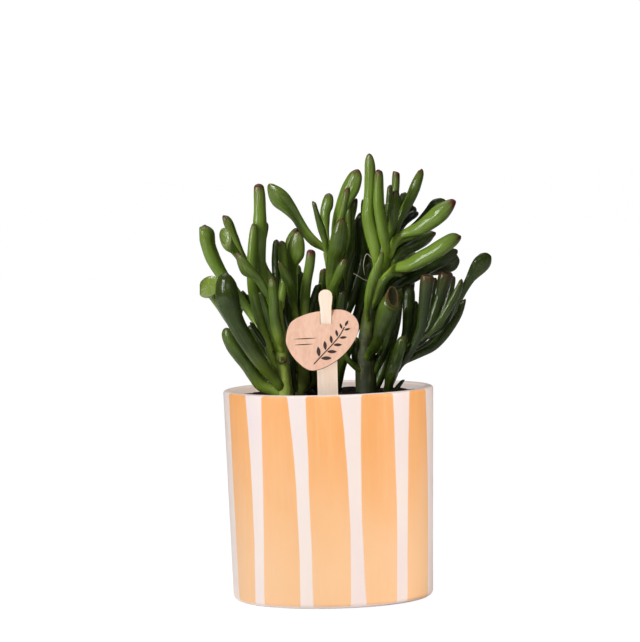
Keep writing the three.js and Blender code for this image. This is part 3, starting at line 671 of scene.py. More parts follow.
def turned_up(rings):
    """The same rings, counted round from the side where the leaf's mouth is cut lowest."""
    ahead = unit(rings[-1][:3] - rings[-2][:3])
    a = math.atan2(-ahead @ rings[-1][6:], -ahead @ rings[-1][3:6])
    ups, sides = rings[:, 3:6], rings[:, 6:]
    return np.hstack([rings[:, :3], math.cos(a) * ups + math.sin(a) * sides,
                      math.cos(a) * sides - math.sin(a) * ups])


# --- Stems ---------------------------------------------------------------------------------------
# Five thick, fleshy stems stand in the soil, swollen where each leaf grows, with a faint brown scar
# below it. The two on the right are old and dark, partly painted shade; the left two young and green.
STEMS = {"left_stem": "left_leaf", "left_rear_stem": "left_rear_leaf", "middle_stem": "middle_leaf",
         "right_trunk": "right_leaf", "right_side_stem": "right_side_leaf"}
# Each stem's age, from fresh and green at 0 to woody at 1, darkened there partly as painted shade,
# and its thickness beside the CAD's
STEM_LOOKS = {"left_stem": (0.2, 1), "left_rear_stem": (0.1, 1), "middle_stem": (0.75, 1),
              "right_trunk": (1.0, 1), "right_side_stem": (1.2, 0.5)}
CAD_STEM_SIDES, CAD_LEAF_SIDES = 10, 8
STEM_SIDES, STEM_STATIONS = 36, 110
STEM_WAVINESS, STEM_WAVE_SCALE = 0.5 * MM, 170.0
SWELLING, SWELL_REACH = 0.06, 3.4 * MM
SCAR_BELOW, SCAR_REACH = 1.6 * MM, 0.5 * MM
STEM_TIP_BENDS = (0.5, 1.0, 1.3, math.pi / 2)
YOUNGER_AT_TIP = 0.9
PALE_BARK, GREEN_BARK, OLD_SHADED_BARK = tint(152, 168, 76), tint(108, 132, 46), tint(40, 46, 22)
BARK_FLECK, SCAR_BROWN = tint(120, 118, 72), tint(104, 82, 46)

bark = Finish("stem_skin")
age, joint, climb = (bark.held(name) for name in ("age", "joint", "climb"))
grain = bark.noise(bark.stretched(1, 1, 0.25), 500, 3.0, seed=2)
mottle = bark.noise(bark.place(), 160, 3.0, seed=6)
# The bark darkens with age towards each stem's foot, partly as painted shade.
aged_and_shaded = bark.between(age - climb * YOUNGER_AT_TIP + (mottle - 0.5) * 0.5, 0.0, 0.75)
colour = bark.mix(mottle, PALE_BARK, GREEN_BARK)
colour = bark.mix(aged_and_shaded, colour, OLD_SHADED_BARK)
colour = bark.mix(bark.between(grain, 0.52, 0.7) * 0.22, colour, BARK_FLECK)
colour = bark.mix(joint * bark.between(grain + mottle, 0.85, 1.15) * 0.25, colour, SCAR_BROWN)
ridges = bark.bump(grain + joint * 0.25, 0.25 * MM, bark.bump(mottle, 0.6 * MM))
stem_skin = bark.surface(colour, 0.48 + grain * 0.2, ridges, IOR=1.34)

stem_paths = {}
for seed, (stem, group) in enumerate(STEMS.items()):
    low, high = (np.array(corner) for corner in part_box(stem))
    below = (low + high) / 2 - (0, 0, 1)
    foot, rings, tip = rings_of(stem, CAD_STEM_SIDES, below)
    amounts = np.linspace(0, 1, STEM_STATIONS)
    run = flow(rings[:-1], amounts)
    far = np.concatenate([[0], np.cumsum(np.linalg.norm(np.diff(run[:, :3], axis=0), axis=1))])
    joints = []
    for node in frame["nodes"]:
        if node[:-len("_01")] == group:
            corners = np.array([v.co for v in frame["nodes"][node].data.vertices])
            gaps = np.linalg.norm(corners[:, None] - run[None, :, :3], axis=2)
            joints.append(far[np.unravel_index(gaps.argmin(), gaps.shape)[1]])
    swell = sum(np.exp(-((far - j) / SWELL_REACH) ** 2) for j in joints)
    swell = 1 + SWELLING * swell / np.maximum(1, swell)
    scar = np.clip(sum(np.exp(-((far - j + SCAR_BELOW) / SCAR_REACH) ** 2) for j in joints), 0, 1)
    how_old, thickness = STEM_LOOKS[stem]
    run[:, 3:] *= swell[:, None] * thickness
    stem_paths[stem] = np.column_stack([run[:, :3], how_old - amounts * YOUNGER_AT_TIP])
    cap = [np.concatenate([run[-1, :3] + (tip - run[-1, :3]) * math.sin(a), run[-1, 3:] * math.cos(a)])
           for a in STEM_TIP_BENDS]
    sole = np.concatenate([foot, np.zeros(6)])
    run = np.vstack([sole, run, cap])
    added = (1, len(cap))
    numbers = {"age": how_old, "joint": np.pad(scar, added, "edge"),
               "climb": np.pad(amounts, added, "edge")}
    mesh = grow(stem + "_skin", [(run, numbers)], STEM_SIDES, STEM_WAVINESS, STEM_WAVE_SCALE, seed,
                stem_skin)
    piece(stem + "_skin", mesh, "stem", stem)


# --- Leaves --------------------------------------------------------------------------------------
# Each leaf is a fleshy finger that ends in a shallow cup with a thin lip, often reddish brown. It
# grows out of the stem with a narrow foot, thickens towards its end and is cut slantwise there.
LEAF_SIDES, LEAF_STATIONS, INNER_LEAF_SIDES = 26, 34, 20
LEAF_WAVINESS, LEAF_WAVE_SCALE = 0.35 * MM, 110.0
LIP, BOWL, HEEL_RUN = 0.36 * MM, 0.5 * MM, 3 * MM
REDDENED = 4.5 * MM
# How deep in the stem each ring of a leaf's heel lies, from 0 at the leaf's foot, and its size beside
# the leaf's first ring; then the size of the neck between them
HEEL_RINGS, NECK = ((0.9, 0), (0.6, 0.8), (0.2, 1.1)), 1.06
CROWDED_TO_TIP = 1.7
# A leaf's end is a plain dome below the first half width of its mouth, and a cup above the second
OPEN_FROM, OPEN_TO = 1.0 * MM, 1.9 * MM
# The nearly black green is partly painted shade.
LIGHT_GREEN, MID_GREEN, DARK_GREEN = tint(184, 192, 102), tint(98, 122, 42), tint(38, 52, 14)
HEEL_GREEN, FADED_TIP, DRY_LIP = tint(150, 176, 66), tint(84, 74, 46), tint(130, 124, 96)
CUP_SHADE_BROWN, BROWN_TIP, RED_TIP = tint(44, 34, 28), tint(82, 62, 36), tint(84, 26, 24)
PALE_PORE = tint(170, 180, 120)
# Each leaf's tone, from fresh green at 0 to nearly black green at 1, partly its own colour and partly
# painted shade where other leaves shade it, then the red of its tip and the crinkling of its skin
LEAF_LOOKS = {
    "left_leaf": [(0.4, 0.6, 0.1), (0.4, 0.9, 0.2), (0.3, 0.3, 0.1), (0.6, 1.1, 0), (0.25, 1.2, 0.7),
                  (0.35, 0.5, 0.5), (0.85, 0.3, 0.1), (0.15, 0.3, 0), (0.75, 0.3, 0), (0.7, 0.3, 0.1),
                  (0.6, 0.9, 0.2), (0.35, 0.8, 0.5)],
    "left_rear_leaf": [(0.55, 0.7, 0.1), (0.35, 1.4, 0.1), (0.4, 1.2, 0.4), (0.5, 0.6, 0),
                       (0.5, 0.6, 0), (0.5, 0.6, 0)],
    "middle_leaf": [(0.5, 0.7, 0), (0.4, 0.8, 0.2), (0.4, 1.2, 0.7), (0.4, 1.3, 0.8), (0.65, 1.4, 0.4),
                    (0.4, 1.2, 0.7), (0.45, 0.9, 1.2), (0.5, 1.0, 1.2), (0.65, 1.2, 0.4), (0.6, 0.6, 0),
                    (0.6, 0.6, 0)],
    "right_leaf": [(0.3, 1.0, 1.2), (0.3, 1.0, 0.6), (0.5, 0.9, 0.7), (0.6, 1.2, 0.3), (0.5, 0.9, 0.8),
                   (0.3, 1.4, 1.2), (0.85, 0.5, 0.2), (0.25, 1.1, 1.6), (0.7, 0.9, 1), (0.8, 0.4, 0.1),
                   (0.25, 0.5, 0.6), (0.65, 0.6, 0.6), (0.6, 0.6, 0.2), (0.6, 0.6, 0.2), (0.6, 0.6, 0.2)],
    "right_side_leaf": [(0.8, 0.6, 0.5), (0.95, 0.8, 1.0), (0.85, 0.8, 0.7), (0.7, 0.5, 0.3),
                        (0.85, 0.5, 0.2), (0.7, 0.4, 0.1), (0.7, 0.5, 0.2)],
}
# Where a leaf differs from its CAD body: how thick it is beside it, how far its tip lies from the CAD's
# in millimetres, how far its mouth has closed, and how far its foot lies from the CAD's
LEAF_SHAPES = {
    "left_leaf_01": (1.1, (-0.1, 0, 0), 0.15), "left_leaf_02": (1.15, (-0.3, 0, 0)),
    "left_leaf_03": (0.9, (0, 0, 0.3)), "left_leaf_05": (1.0, (0, 0, 0.5), 0.35),
    "left_leaf_07": (1.12, (0.3, 0, 0)), "left_leaf_08": (1.17, (0, 0, -1.3)),
    "left_leaf_10": (0.96, (0, 0, 0.4)), "left_rear_leaf_02": (0.98, (0.3, 0, 1), 0.35),
    "left_rear_leaf_03": (0.94, (0, 0, 0.5)), "left_rear_leaf_04": (0.9, (-2.2, 0, 0)),
    "middle_leaf_01": (1.06, (0, 0, 0.4)), "middle_leaf_02": (1.15, (-0.3, 0, 0.3)),
    "middle_leaf_03": (1.04, (-0.2, 0, -0.4), 0.2), "right_leaf_01": (1.1, (0, 0, 0)),
    "right_leaf_03": (1.1, (0, 0, 0.4)), "right_leaf_05": (1.15, (-0.4, 0, 0.2)),
    "right_leaf_07": (0.97, (0.1, 0, 0.4)), "right_leaf_12": (1.08, (0, 0, 0)),
    "right_side_leaf_02": (1.0, (0, 0, 0), 0.2, (-1, 0, 0)),
    "right_side_leaf_03": (1.0, (0, 0, 0), 0.2, (-1, 0, 0.5)),
    "right_side_leaf_04": (0.94, (0, 0, -0.5)),
    "right_side_leaf_05": (0.86, (0, 0, -0.3), 0, (-0.3, 0, 1)),
    "right_side_leaf_06": (1.0, (0, 0, 0), 0, (-2, 0, 3)),
}

skin = Finish("leaf_skin")
along, rim, cup, tone_and_shade, blush, frost, old, edge, top = (
    skin.held(name) for name in ("along", "rim", "cup", "tone_and_shade", "blush", "frost", "old", "edge", "top"))
lengthwise = skin.node("ShaderNodeCombineXYZ", None,
                       {"X": edge * 1.4, "Y": top * 1.4, "Z": along * 0.8 + tone_and_shade * 9})
streak = skin.noise(lengthwise, 3.2, 3.0, seed=4)
mottle = skin.noise(skin.place(), 150, 3.0, seed=6)
pores = skin.noise(skin.place(), 1500, 2.0, 0.6, seed=7)
crinkle = skin.noise(skin.place(), 620, 2.0, 0.55, seed=9)
# The tone darkens the green, partly as painted shade on leaves in the shade of others.
shade = tone_and_shade + (mottle - 0.5) * 0.35 + (streak - 0.5) * 0.5
green = skin.mix(skin.between(shade, -0.6, 0.3), LIGHT_GREEN, MID_GREEN)
green = skin.mix(skin.between(shade, 0.25, 0.95), green, DARK_GREEN)
fresh = skin.between(along, 0.42, 0.02) * skin.between(old, 0.6, 0.0) * (0.95 - tone_and_shade * 0.75)
green = skin.mix(fresh, green, HEEL_GREEN)
fading = skin.between(along + (streak - 0.5) * 0.3, 0.72, 1.05) * (blush * 0.4)
green = skin.mix(fading, green, FADED_TIP)
margin = skin.between(skin.math("ABSOLUTE", edge), 0.86, 1.0) * skin.between(along, 0.78, 0.97)
redness = blush * (rim + margin * 0.5) + (mottle - 0.5) * 0.3
green = skin.mix(skin.between(rim, 0.8, 1.0) * 0.5, green, DRY_LIP)
# Painted shade: the hollow of the cup turns dark brown on the darker leaves.
green = skin.mix(cup * skin.between(tone_and_shade, 0.3, 0.75) * 0.9, green, CUP_SHADE_BROWN)
green = skin.mix(skin.between(redness, 0.05, 0.7) * 0.6, green, BROWN_TIP)
green = skin.mix(skin.between(redness, 0.55, 1.1) * 0.95, green, RED_TIP)
green = skin.mix(skin.between(pores, 0.6, 0.75) * 0.12, green, PALE_PORE)
rough = 0.1 + crinkle * 0.12
relief = skin.bump(streak + mottle * 0.6, 0.22 * MM)
relief = skin.bump(crinkle * (0.15 + frost), 0.16 * MM, relief)
leaf_skin = skin.surface(green, rough, relief, IOR=1.4, Subsurface_Weight=0.08,
                         Subsurface_Radius=(1.0, 1.6, 0.4), Subsurface_Scale=1.2 * MM)


def leaf_shoot(start, rings, stem, looks, thicker=1.0, moved=(0, 0, 0), closing=0.0, foot=(0, 0, 0)):
    """A leaf from its rings: its heel in the stem, its body, its end and cup, and its numbers."""
    start = start + np.array(foot) * MM
    rings[:, :3] += np.outer(np.linspace(1, 0, len(rings)) ** 2, foot) * MM
    gaps = np.linalg.norm(stem[:, :3] - start, axis=1)
    nearest = gaps.argmin()
    inside = stem[np.abs(gaps[:nearest + 1] - gaps[nearest] - HEEL_RUN).argmin(), :3]
    heel = [(start + (inside - start) * deep, size) for deep, size in HEEL_RINGS]
    heel.append(((start + rings[0][:3]) / 2, NECK))
    heel = [np.concatenate([spot, rings[0][3:] * size]) for spot, size in heel]
    amounts = 1 - (1 - np.linspace(0, 1, LEAF_STATIONS)) ** CROWDED_TO_TIP
    body = flow(rings, amounts)
    body[:, :3] += np.outer(amounts ** 2, moved) * MM
    body[:, 3:] *= (1 + (thicker - 1) * np.clip(amounts * 2, 0, 1))[:, None]
    steps = np.linalg.norm(np.diff(body, axis=0), axis=1)
    reddening = np.clip(1 - np.append(steps[::-1].cumsum()[::-1], 0) / REDDENED, 0, 1)
    mouth = rings[-1]
    normal = unit(np.cross(mouth[6:], mouth[3:6]))
    normal *= np.sign(normal @ (mouth[:3] - rings[-2][:3]))
    to_end = np.append(np.linalg.norm(np.diff(body[:, :3], axis=0), axis=1)[::-1].cumsum()[::-1], 0)
    reach = np.linalg.norm(mouth[6:])
    nearness = np.clip(1 - to_end / reach, 0, 1)
    body[:, 3:] *= (1 - closing * (1 - np.sqrt(1 - nearness ** 2)))[:, None]
    mouth, reach = body[-1], np.linalg.norm(body[-1][6:])
    lip, bowl = min(LIP, 0.3 * reach), min(BOWL, 0.35 * reach)
    opened = np.clip((reach - OPEN_FROM) / (OPEN_TO - OPEN_FROM), 0, 1)
    inward = [(lip * 0.35, 1 - lip / reach * 0.3), (lip * 0.3, 1 - lip / reach * 0.8),
              (-lip * 0.2, 1 - lip / reach * 1.3), (-bowl * 0.55, 0.72), (-bowl * 0.85, 0.45),
              (-bowl * 0.98, 0.2), (-bowl, 0)]
    inward = [(h * opened + 0.25 * reach * (1 - size ** 2) * (1 - opened), size) for h, size in inward]
    cup_rings = [np.concatenate([mouth[:3] + normal * h, mouth[3:] * size]) for h, size in inward]
    numbers = {"along": np.r_[np.zeros(len(heel)), amounts, np.ones(len(cup_rings))],
               "rim": np.r_[np.zeros(len(heel)), reddening, 1, 1, 0.8, 0.3, 0.1, 0, 0],
               "cup": np.r_[np.zeros(len(heel) + LEAF_STATIONS), 0, 0.2, 0.7, 1, 1, 1, 1],
               "old": stem[nearest, 3], **dict(zip(("tone_and_shade", "blush", "frost"), looks))}
    return np.vstack([heel, body, cup_rings]), numbers


for group, looks in LEAF_LOOKS.items():
    stem = next(name for name in STEMS if STEMS[name] == group)
    path = stem_paths[stem]
    for number, looks_of in enumerate(looks, 1):
        node = f"{group}_{number:02d}"
        start, rings, _ = rings_of(node, CAD_LEAF_SIDES, path[:, :3])
        leaf = leaf_shoot(start, turned_up(rings), path, looks_of, *LEAF_SHAPES.get(node, ()))
        mesh = grow(node + "_skin", [leaf], LEAF_SIDES, LEAF_WAVINESS, LEAF_WAVE_SCALE, number, leaf_skin)
        piece(node + "_skin", mesh, "leaf", node)


# --- Inner leaves --------------------------------------------------------------------------------
# Shorter leaves of the same soft tissue fill the shade between the main ones, their dark green partly
# painted shade. Each grows from its stem like those, with a rounded end and no CAD body of its own.
DOME, DOME_SLANT, DOME_BENDS = 0.9, 0.5 * MM, (0, 30, 60, 90)
SHAFT_RINGS, FLATTENED, HEEL_DEPTH = 8, 0.85, 0.42
# Each leaf's points of x, y, z and width in millimetres, from inside its stem to its tip, and its looks
INNER_LEAVES = {
    "left_stem": [
        ([(-25, -15, 127, 3.4), (-28, -18, 138, 4.4), (-30.5, -19, 148, 4), (-32.5, -19, 155, 2.8)],
         0.7, 0.3, 0),
        ([(-24, -9, 146, 3.4), (-23.5, -3, 152, 3.6), (-24.8, 6, 163, 3.8), (-25, 8, 171, 3.4),
          (-24, 9, 179.5, 3)], 0.8, 0.5, 0.2),
        ([(-26, -6, 140, 3.4), (-31, 3, 151, 4.4), (-30.5, 4.5, 156, 4.8), (-27, 6, 161, 4.5)],
         0.9, 0.5, 0.2),
        ([(-26, 2, 158, 3.6), (-31, 3, 168.5, 3), (-31.5, 4, 175.5, 3), (-30.5, 5, 181, 3.6),
          (-29.5, 5, 186, 3.6), (-29, 5, 188.5, 2.6)], 0.85, 0.9, 0),
        ([(-27, -8, 116, 4), (-31.5, -4, 124, 4.4), (-36.5, -2, 134, 4.2), (-38.3, -2, 137.5, 3.4)],
         0.8, 0.3, 0),
        ([(-25, -4, 118, 3.4), (-32.5, 3, 123.5, 3), (-40, 3, 131.5, 2.6), (-42.7, 3, 138, 2.6),
          (-43.2, 3, 144, 2.6), (-41.5, 3, 150.5, 4), (-41, 3, 154.5, 3)], 0.6, 0.4, 0),
        ([(-25, -14, 120, 3.4), (-31, -16, 129, 3.4), (-35.5, -18, 136, 3), (-37.5, -18, 140, 2)],
         0.85, 0.3, 0),
        ([(-22, -8, 105.5, 3.4), (-28, 2, 108, 5), (-33, 4, 112, 4.6), (-37, 4, 118.5, 2.6)],
         0.8, 0.3, 0),
        ([(-24, -4, 140, 3.4), (-25.5, 4, 146, 4), (-26.5, 4, 152.5, 4), (-27, 4, 156, 3)], 0.85, 0.5, 0),
        ([(-23.4, -15.5, 119.5, 4), (-22.4, -17.8, 120.3, 4.2), (-21.6, -20.2, 120.8, 4.4)], 0.6, 0.7, 0),
    ],
    "left_rear_stem": [
        ([(-13.5, 7, 136, 3), (-12.5, 9, 152, 3), (-12.3, 10, 163, 2.8)], 0.8, 0.5, 0),
        ([(-15, 9, 136, 3.4), (-18, 14, 158.5, 5), (-18, 14, 168, 6), (-17.3, 14, 176, 6),
          (-15.5, 14, 181.5, 5.6), (-13, 14, 185, 3)], 0.3, 0.9, 0),
        ([(-17, 8, 124, 4), (-20.5, 8, 138, 4.4), (-20.5, 8, 148, 4.2), (-20, 8, 154, 3.4)], 0.7, 0.3, 0),
        ([(-11, 8, 130, 3.6), (-8, 6, 143, 4), (-5, 4, 152.5, 4), (-3.3, 4, 157, 3.5)], 0.85, 0.6, 0),
        ([(-14.5, 4, 128, 3.6), (-18.5, 2, 138, 4), (-19, 2, 146, 3.4), (-19, 2, 150.5, 2.4)],
         0.85, 0.3, 0),
        ([(-13, 4, 101, 3), (-17.5, 2, 108, 4), (-17.5, 2, 116, 4), (-17.5, 2, 124, 2.6)], 0.85, 0.3, 0),
        ([(-14, 4, 112, 3.6), (-18, 2, 119, 3.6), (-19, 2, 124, 3.4), (-19.5, 2, 128, 2.4)],
         0.85, 0.3, 0),
        ([(-11, 4, 116, 3), (-7, 2, 113.5, 2.8), (-6.5, 0, 109.5, 3), (-9, -1, 105.5, 3),
          (-12, -1, 102.5, 2)], 0.7, 0.3, 0.3),
    ],
    "middle_stem": [
        ([(1.5, 9, 171.5, 3), (0.3, 4.5, 178, 3.5), (-1.3, 5, 184, 4.3), (-2.7, 5, 189, 3.6),
          (-4, 4, 194, 2.9), (-5, 4, 198.5, 2.2)], 0.7, 0.7, 0),
        ([(3.5, 10, 138, 4.4), (5, 4, 147, 4.8), (6.5, 4, 154.5, 5.4), (7.5, 4, 160, 4.6)],
         0.85, 0.5, 0.3),
        ([(3.5, 11, 99, 4), (5, 7, 107, 5), (7, 4, 115.5, 5.2), (10.8, 0, 124, 4.4), (13, -1, 129, 3.6)],
         0.75, 0.3, 0),
        ([(4, 13, 130, 4), (11, 15, 144, 6), (17, 18, 160, 8.5), (19.3, 19, 169, 9), (18.5, 19, 178, 7.5),
          (17.6, 19, 190, 4)], 0.9, 0.5, 0.2),
        ([(4, 10, 128, 4), (6, 1, 138, 5), (8, -2, 148, 5.5), (8.5, -3, 154, 5)], 0.9, 0.6, 0.2),
        ([(5, 14, 120, 4), (14.5, 15, 135, 7), (18.8, 14, 147, 8), (21.5, 12, 158, 7),
          (22.6, 11, 167, 4.5)], 0.95, 0.4, 0.2),
        ([(1, 12, 128, 4), (-3, 7, 136, 4), (-4.5, 6, 141, 4), (-5.5, 6, 146.5, 3.6), (-6, 6, 150, 2)],
         0.85, 0.4, 0),
        ([(0, 12, 100, 4), (-7, 8, 107, 5.6), (-8, 8, 115, 6), (-7, 8, 122.5, 4)], 0.8, 0.3, 0),
        ([(5, 11, 160, 3.4), (12, 12, 178, 3.6), (12.5, 12, 186, 3.8), (12.5, 12, 193, 3.6),
          (13, 12, 197, 2)], 0.6, 0.6, 0.3),
    ],
    "right_trunk": [
        ([(17, 5, 110, 3), (14.3, 4, 116, 3.6), (14, 3, 124, 4), (14.6, 3, 130, 3.6)], 0.85, 0.3, 0),
        ([(19, 2, 111, 4), (13.5, 0, 115.5, 4), (10, -2, 119.5, 3.4), (8, -2, 126.5, 3)], 0.7, 0.3, 0),
        ([(31.5, 3, 171.5, 3), (32, 6, 188, 3.6), (33, 7, 198, 3.6), (33.5, 7, 205.5, 2.6)],
         0.6, 0.8, 0.2),
        ([(32, 3, 172, 3.4), (35.5, 8, 184, 4), (38.5, 13, 193, 4.6), (41, 16, 201.5, 3.6)],
         0.6, 0.8, 0.2),
        ([(32, 3, 172, 3.4), (36, 12, 181, 4.2), (40.5, 18, 188, 5.2), (43.5, 21, 192, 6.2),
          (46.6, 22, 193.5, 5)], 0.95, 0.3, 0),
        ([(32, 3, 170, 3.4), (36, 14, 179.5, 3.6), (40, 16, 185.8, 4.2), (44, 18, 189.3, 4.8),
          (47.5, 18, 191.3, 4)], 0.95, 0.3, 0),
        ([(32.5, 0, 172.5, 2.6), (39.6, -3, 178, 3), (44.6, -3, 179.5, 2.8), (47, -3, 180.5, 2)],
         0.4, 0.8, 0),
        ([(22.5, 1, 144, 3), (26, -3, 149.5, 3.5), (28, -4, 155.5, 3.5), (31, -4, 159.5, 3.5),
          (35, -4, 161.5, 3.5), (38.5, -4, 160.5, 3)], 0.4, 0.3, 0.2),
        ([(22, 3, 108, 4), (27, 0, 119, 4.6), (30.5, -2, 128, 4.6), (33.3, -4, 137, 4.4),
          (37, -5, 146, 4)], 0.8, 0.4, 0),
        ([(21, 5, 103, 4), (24.5, 4, 113, 5.5), (28, 4, 122, 7), (31.2, 4, 130, 7.4), (34, 4, 138, 5.6)],
         0.9, 0.4, 0),
        ([(22, 3, 101, 5), (28, 2, 114, 6), (32, 2, 126, 5.6), (34.5, 2, 134.5, 5), (36, 2, 142, 4.4),
          (37, 2, 149.5, 3)], 0.75, 0.3, 0),
        ([(30, 3, 152, 3.4), (40, 5, 156, 4.6), (52, 7, 163, 6), (61, 8, 168.5, 7.6), (66, 8, 172.5, 5)],
         0.9, 0.5, 0.4),
        ([(28, 2, 146, 4), (32, 0, 154, 4), (36, 0, 157, 4), (40, 0, 160, 2.4)], 0.85, 0.4, 0),
        ([(27, 2, 152, 4), (24.5, 3, 164, 4), (23.5, 3, 170.5, 4), (23, 3, 177, 2.4)], 0.9, 0.4, 0),
        ([(31, 4, 164, 4), (36.5, 8, 167.5, 5.6), (40.5, 8, 173.5, 5.6), (43.5, 8, 178.5, 3)],
         0.8, 0.4, 0),
        ([(32, 4, 166, 3), (43.5, 6, 172.5, 4), (50, 6, 176, 4), (54, 6, 179, 2.6)], 0.8, 0.5, 0.2),
        ([(26, 4, 160, 3.4), (21.6, 6, 180.5, 4), (20, 6, 190, 4), (20, 6, 195, 3), (20, 6, 198.5, 2)],
         0.85, 0.5, 0),
    ],
    "right_side_stem": [
        ([(38, -8, 120, 3), (47, 0, 128, 3.2), (50.8, 4, 137, 3.4), (52.6, 6, 147, 3.6),
          (54.6, 6, 158.5, 3.8)], 0.85, 0.5, 0),
        ([(34, -8, 115, 3), (38.4, 2, 124, 3.2), (40.4, 5, 135, 3.3), (42, 8, 147, 3.3),
          (43.4, 8, 158, 3.3)], 0.85, 0.5, 0),
        ([(38.5, -8, 122, 3), (52, 1, 132, 3.6), (58.8, 4, 142, 4), (62, 6, 151, 4.6),
          (63.8, 6, 159, 3.8)], 0.85, 0.5, 0),
        ([(35, -8, 117, 3), (38.5, 3, 121.5, 3.6), (41.5, 4, 129, 5), (43.8, 4, 138, 4.8),
          (44.5, 4, 147, 3.6)], 0.75, 0.5, 0),
        ([(38, -9, 121, 2.6), (46, -3, 127, 3), (51.5, 0, 130.5, 4.4), (57, -2, 134.5, 6),
          (61.5, -2, 142, 5.4), (65.5, -2, 150.5, 2.4)], 0.8, 0.4, 0),
        ([(29, -6, 103, 4), (33, 0, 113, 6), (34.5, 0, 120.5, 5), (35.5, 0, 125, 3.4)], 0.9, 0.3, 0),
        ([(30, -6, 98, 2.6), (35, -3, 105, 2.6), (38, -3, 108.5, 1.6)], 0.7, 0.2, 0),
    ],
}


def finger(rows):
    """The heel and rings of a leaf that grows through a list of points, its root first."""
    rows = np.array(rows, float) * MM
    length = np.linalg.norm(np.diff(rows[:, :3], axis=0), axis=1).sum()
    dome = rows[-1][3] / 2 * DOME / length
    bend = np.radians(DOME_BENDS)
    amounts = np.r_[np.linspace(0, 1 - dome, SHAFT_RINGS + 1)[:-1], 1 - dome * (1 - np.sin(bend))]
    half = np.r_[np.ones(SHAFT_RINGS), 0.4 + 0.6 * np.cos(bend)]
    line = flow(rows, amounts)
    half = (line[:, 3] / 2 * half)[:, None]
    ahead = unit(np.gradient(line[:, :3], axis=0))
    normal = (rows[0][:3] - rows[-1][:3]) * (1, 1, -0.6)
    ups = []
    for along_it in ahead[::-1]:
        normal = unit(normal - (normal @ along_it) * along_it)
        ups.append(normal)
    ups = np.array(ups[::-1])
    cut = ahead * (np.clip(amounts * 2.5 - 1.5, 0, 1) ** 4 * DOME_SLANT)[:, None]
    rings = np.hstack([line[:, :3] - cut, ups * half * FLATTENED - cut, np.cross(ahead, ups) * half])
    return line[0, :3] - ahead[0] * rows[0][3] * HEEL_DEPTH, rings


for seed, (stem, table) in enumerate(INNER_LEAVES.items()):
    shoots = [leaf_shoot(*finger(rows), stem_paths[stem], looks) for rows, *looks in table]
    name = stem.replace("_stem", "").replace("_trunk", "") + "_inner_leaves"
    mesh = grow(name, shoots, INNER_LEAF_SIDES, LEAF_WAVINESS, LEAF_WAVE_SCALE, seed, leaf_skin)
    piece(name, mesh, "leaf")


# --- Aerial roots --------------------------------------------------------------------------------
# Two dry, hair-thin roots of pale woody fibre have grown out of the right trunk. They hang free in
# the gaps between the leaves.
ROOT_SIDES, ROOT_STATIONS, ROOT_WAVINESS, ROOT_WAVE_SCALE = 6, 30, 0.12 * MM, 900.0
PALE_FIBRE, BROWN_FIBRE = tint(214, 208, 190), tint(170, 154, 130)
# Each root's points of x, y, z and thickness in millimetres, from inside the trunk to its tip
AERIAL_ROOTS = [
    [(27, 1, 164, 0.5), (23.5, -3, 169, 0.4), (21, -4, 171.5, 0.35), (19.2, -4, 167, 0.3),
     (19.5, -4, 161, 0.25)],
    [(25, 1, 158, 0.5), (19.5, -2, 158.5, 0.4), (16.5, -3, 160.5, 0.3), (14, -3, 162, 0.25)],
]
fibre = Finish("aerial_root")
fibre_shade = fibre.noise(fibre.place(), 900, 2.0, seed=3)
fibre_skin = fibre.surface(fibre.mix(fibre_shade, PALE_FIBRE, BROWN_FIBRE), 0.7)


def thread(points):
    """The stations of a thin round thread through points of x, y, z and thickness."""
    rows = flow(np.array(points, float) * MM, np.linspace(0, 1, ROOT_STATIONS))
    ahead = unit(np.gradient(rows[:, :3], axis=0))
    ups = unit(np.cross(ahead, (0.0, 1.0, 0.1)))
    half = rows[:, 3:] / 2
    run = np.hstack([rows[:, :3], ups * half, np.cross(ahead, ups) * half])
    ends = run[[0, -1]] * np.r_[1, 1, 1, np.zeros(6)]
    return np.vstack([ends[:1], run, ends[1:]]), {}


roots = grow("aerial_roots", [thread(points) for points in AERIAL_ROOTS], ROOT_SIDES, ROOT_WAVINESS,
             ROOT_WAVE_SCALE, 5, fibre_skin)
piece("aerial_roots", roots, "stem")


# --- Wooden stick --------------------------------------------------------------------------------
# A flat stick sawn from birch plywood is pushed upright into the soil. Its narrow neck and its
# slightly wider, round head pass through the slot of the tag.
STICK_X, STICK_Y = -0.3 * MM, -36 * MM
STICK_THICKNESS, STICK_ROUND = 1 * MM, 0.18 * MM
BOARD_EDGE_STEPS, BOARD_WELD = 2, 0.002 * MM
STICK_WOOD = {"light": (252, 236, 219), "dark": (246, 220, 198), "sawn_edge": (238, 208, 182)}
# Heights up the stick and the half width at each, in millimetres
STICK_WIDTHS = [(36, 0.4), (38, 1.7), (42, 3.6), (48, 5), (132, 5), (134, 4.4), (136, 3.2), (138, 2.75),
                (147, 2.75), (149.5, 3.2), (152, 3.45), (154, 3.1), (155, 2.3), (155.6, 1.3), (155.8, 0.4)]


def wood(name, face, light, dark, sawn_edge):
    """Planed wood with an upright grain, whose sawn edges, turned away from its face, are darker."""
    board = Finish(name)
    grain = board.noise(board.stretched(1, 1, 0.05), 900, 4.0, 0.6, seed=1)
    figure = board.noise(board.stretched(1, 1, 0.12), 160, 3.0, 0.5, seed=5)
    pores = board.noise(board.stretched(1, 1, 0.08), 2600, 2.0, seed=7)
    colour = board.mix(board.between(grain * 0.5 + figure * 0.6, 0.4, 0.72), tint(*light), tint(*dark))
    colour = board.mix(board.between(pores, 0.62, 0.75) * 0.3, colour, tint(*(0.8 * v for v in dark)))
    facing = board.vector("DOT_PRODUCT", board.node("ShaderNodeNewGeometry", out="Normal"), face)
    sawn = board.between(board.math("ABSOLUTE", facing) + (grain - 0.5) * 0.3, 0.45, 0.75, 1.0, 0.0)
    colour = board.mix(sawn, colour, tint(*sawn_edge))
    relief = board.bump(grain + pores * 0.4, 0.06 * MM)
    return board.surface(colour, 0.62 + grain * 0.15, relief, IOR=1.4)


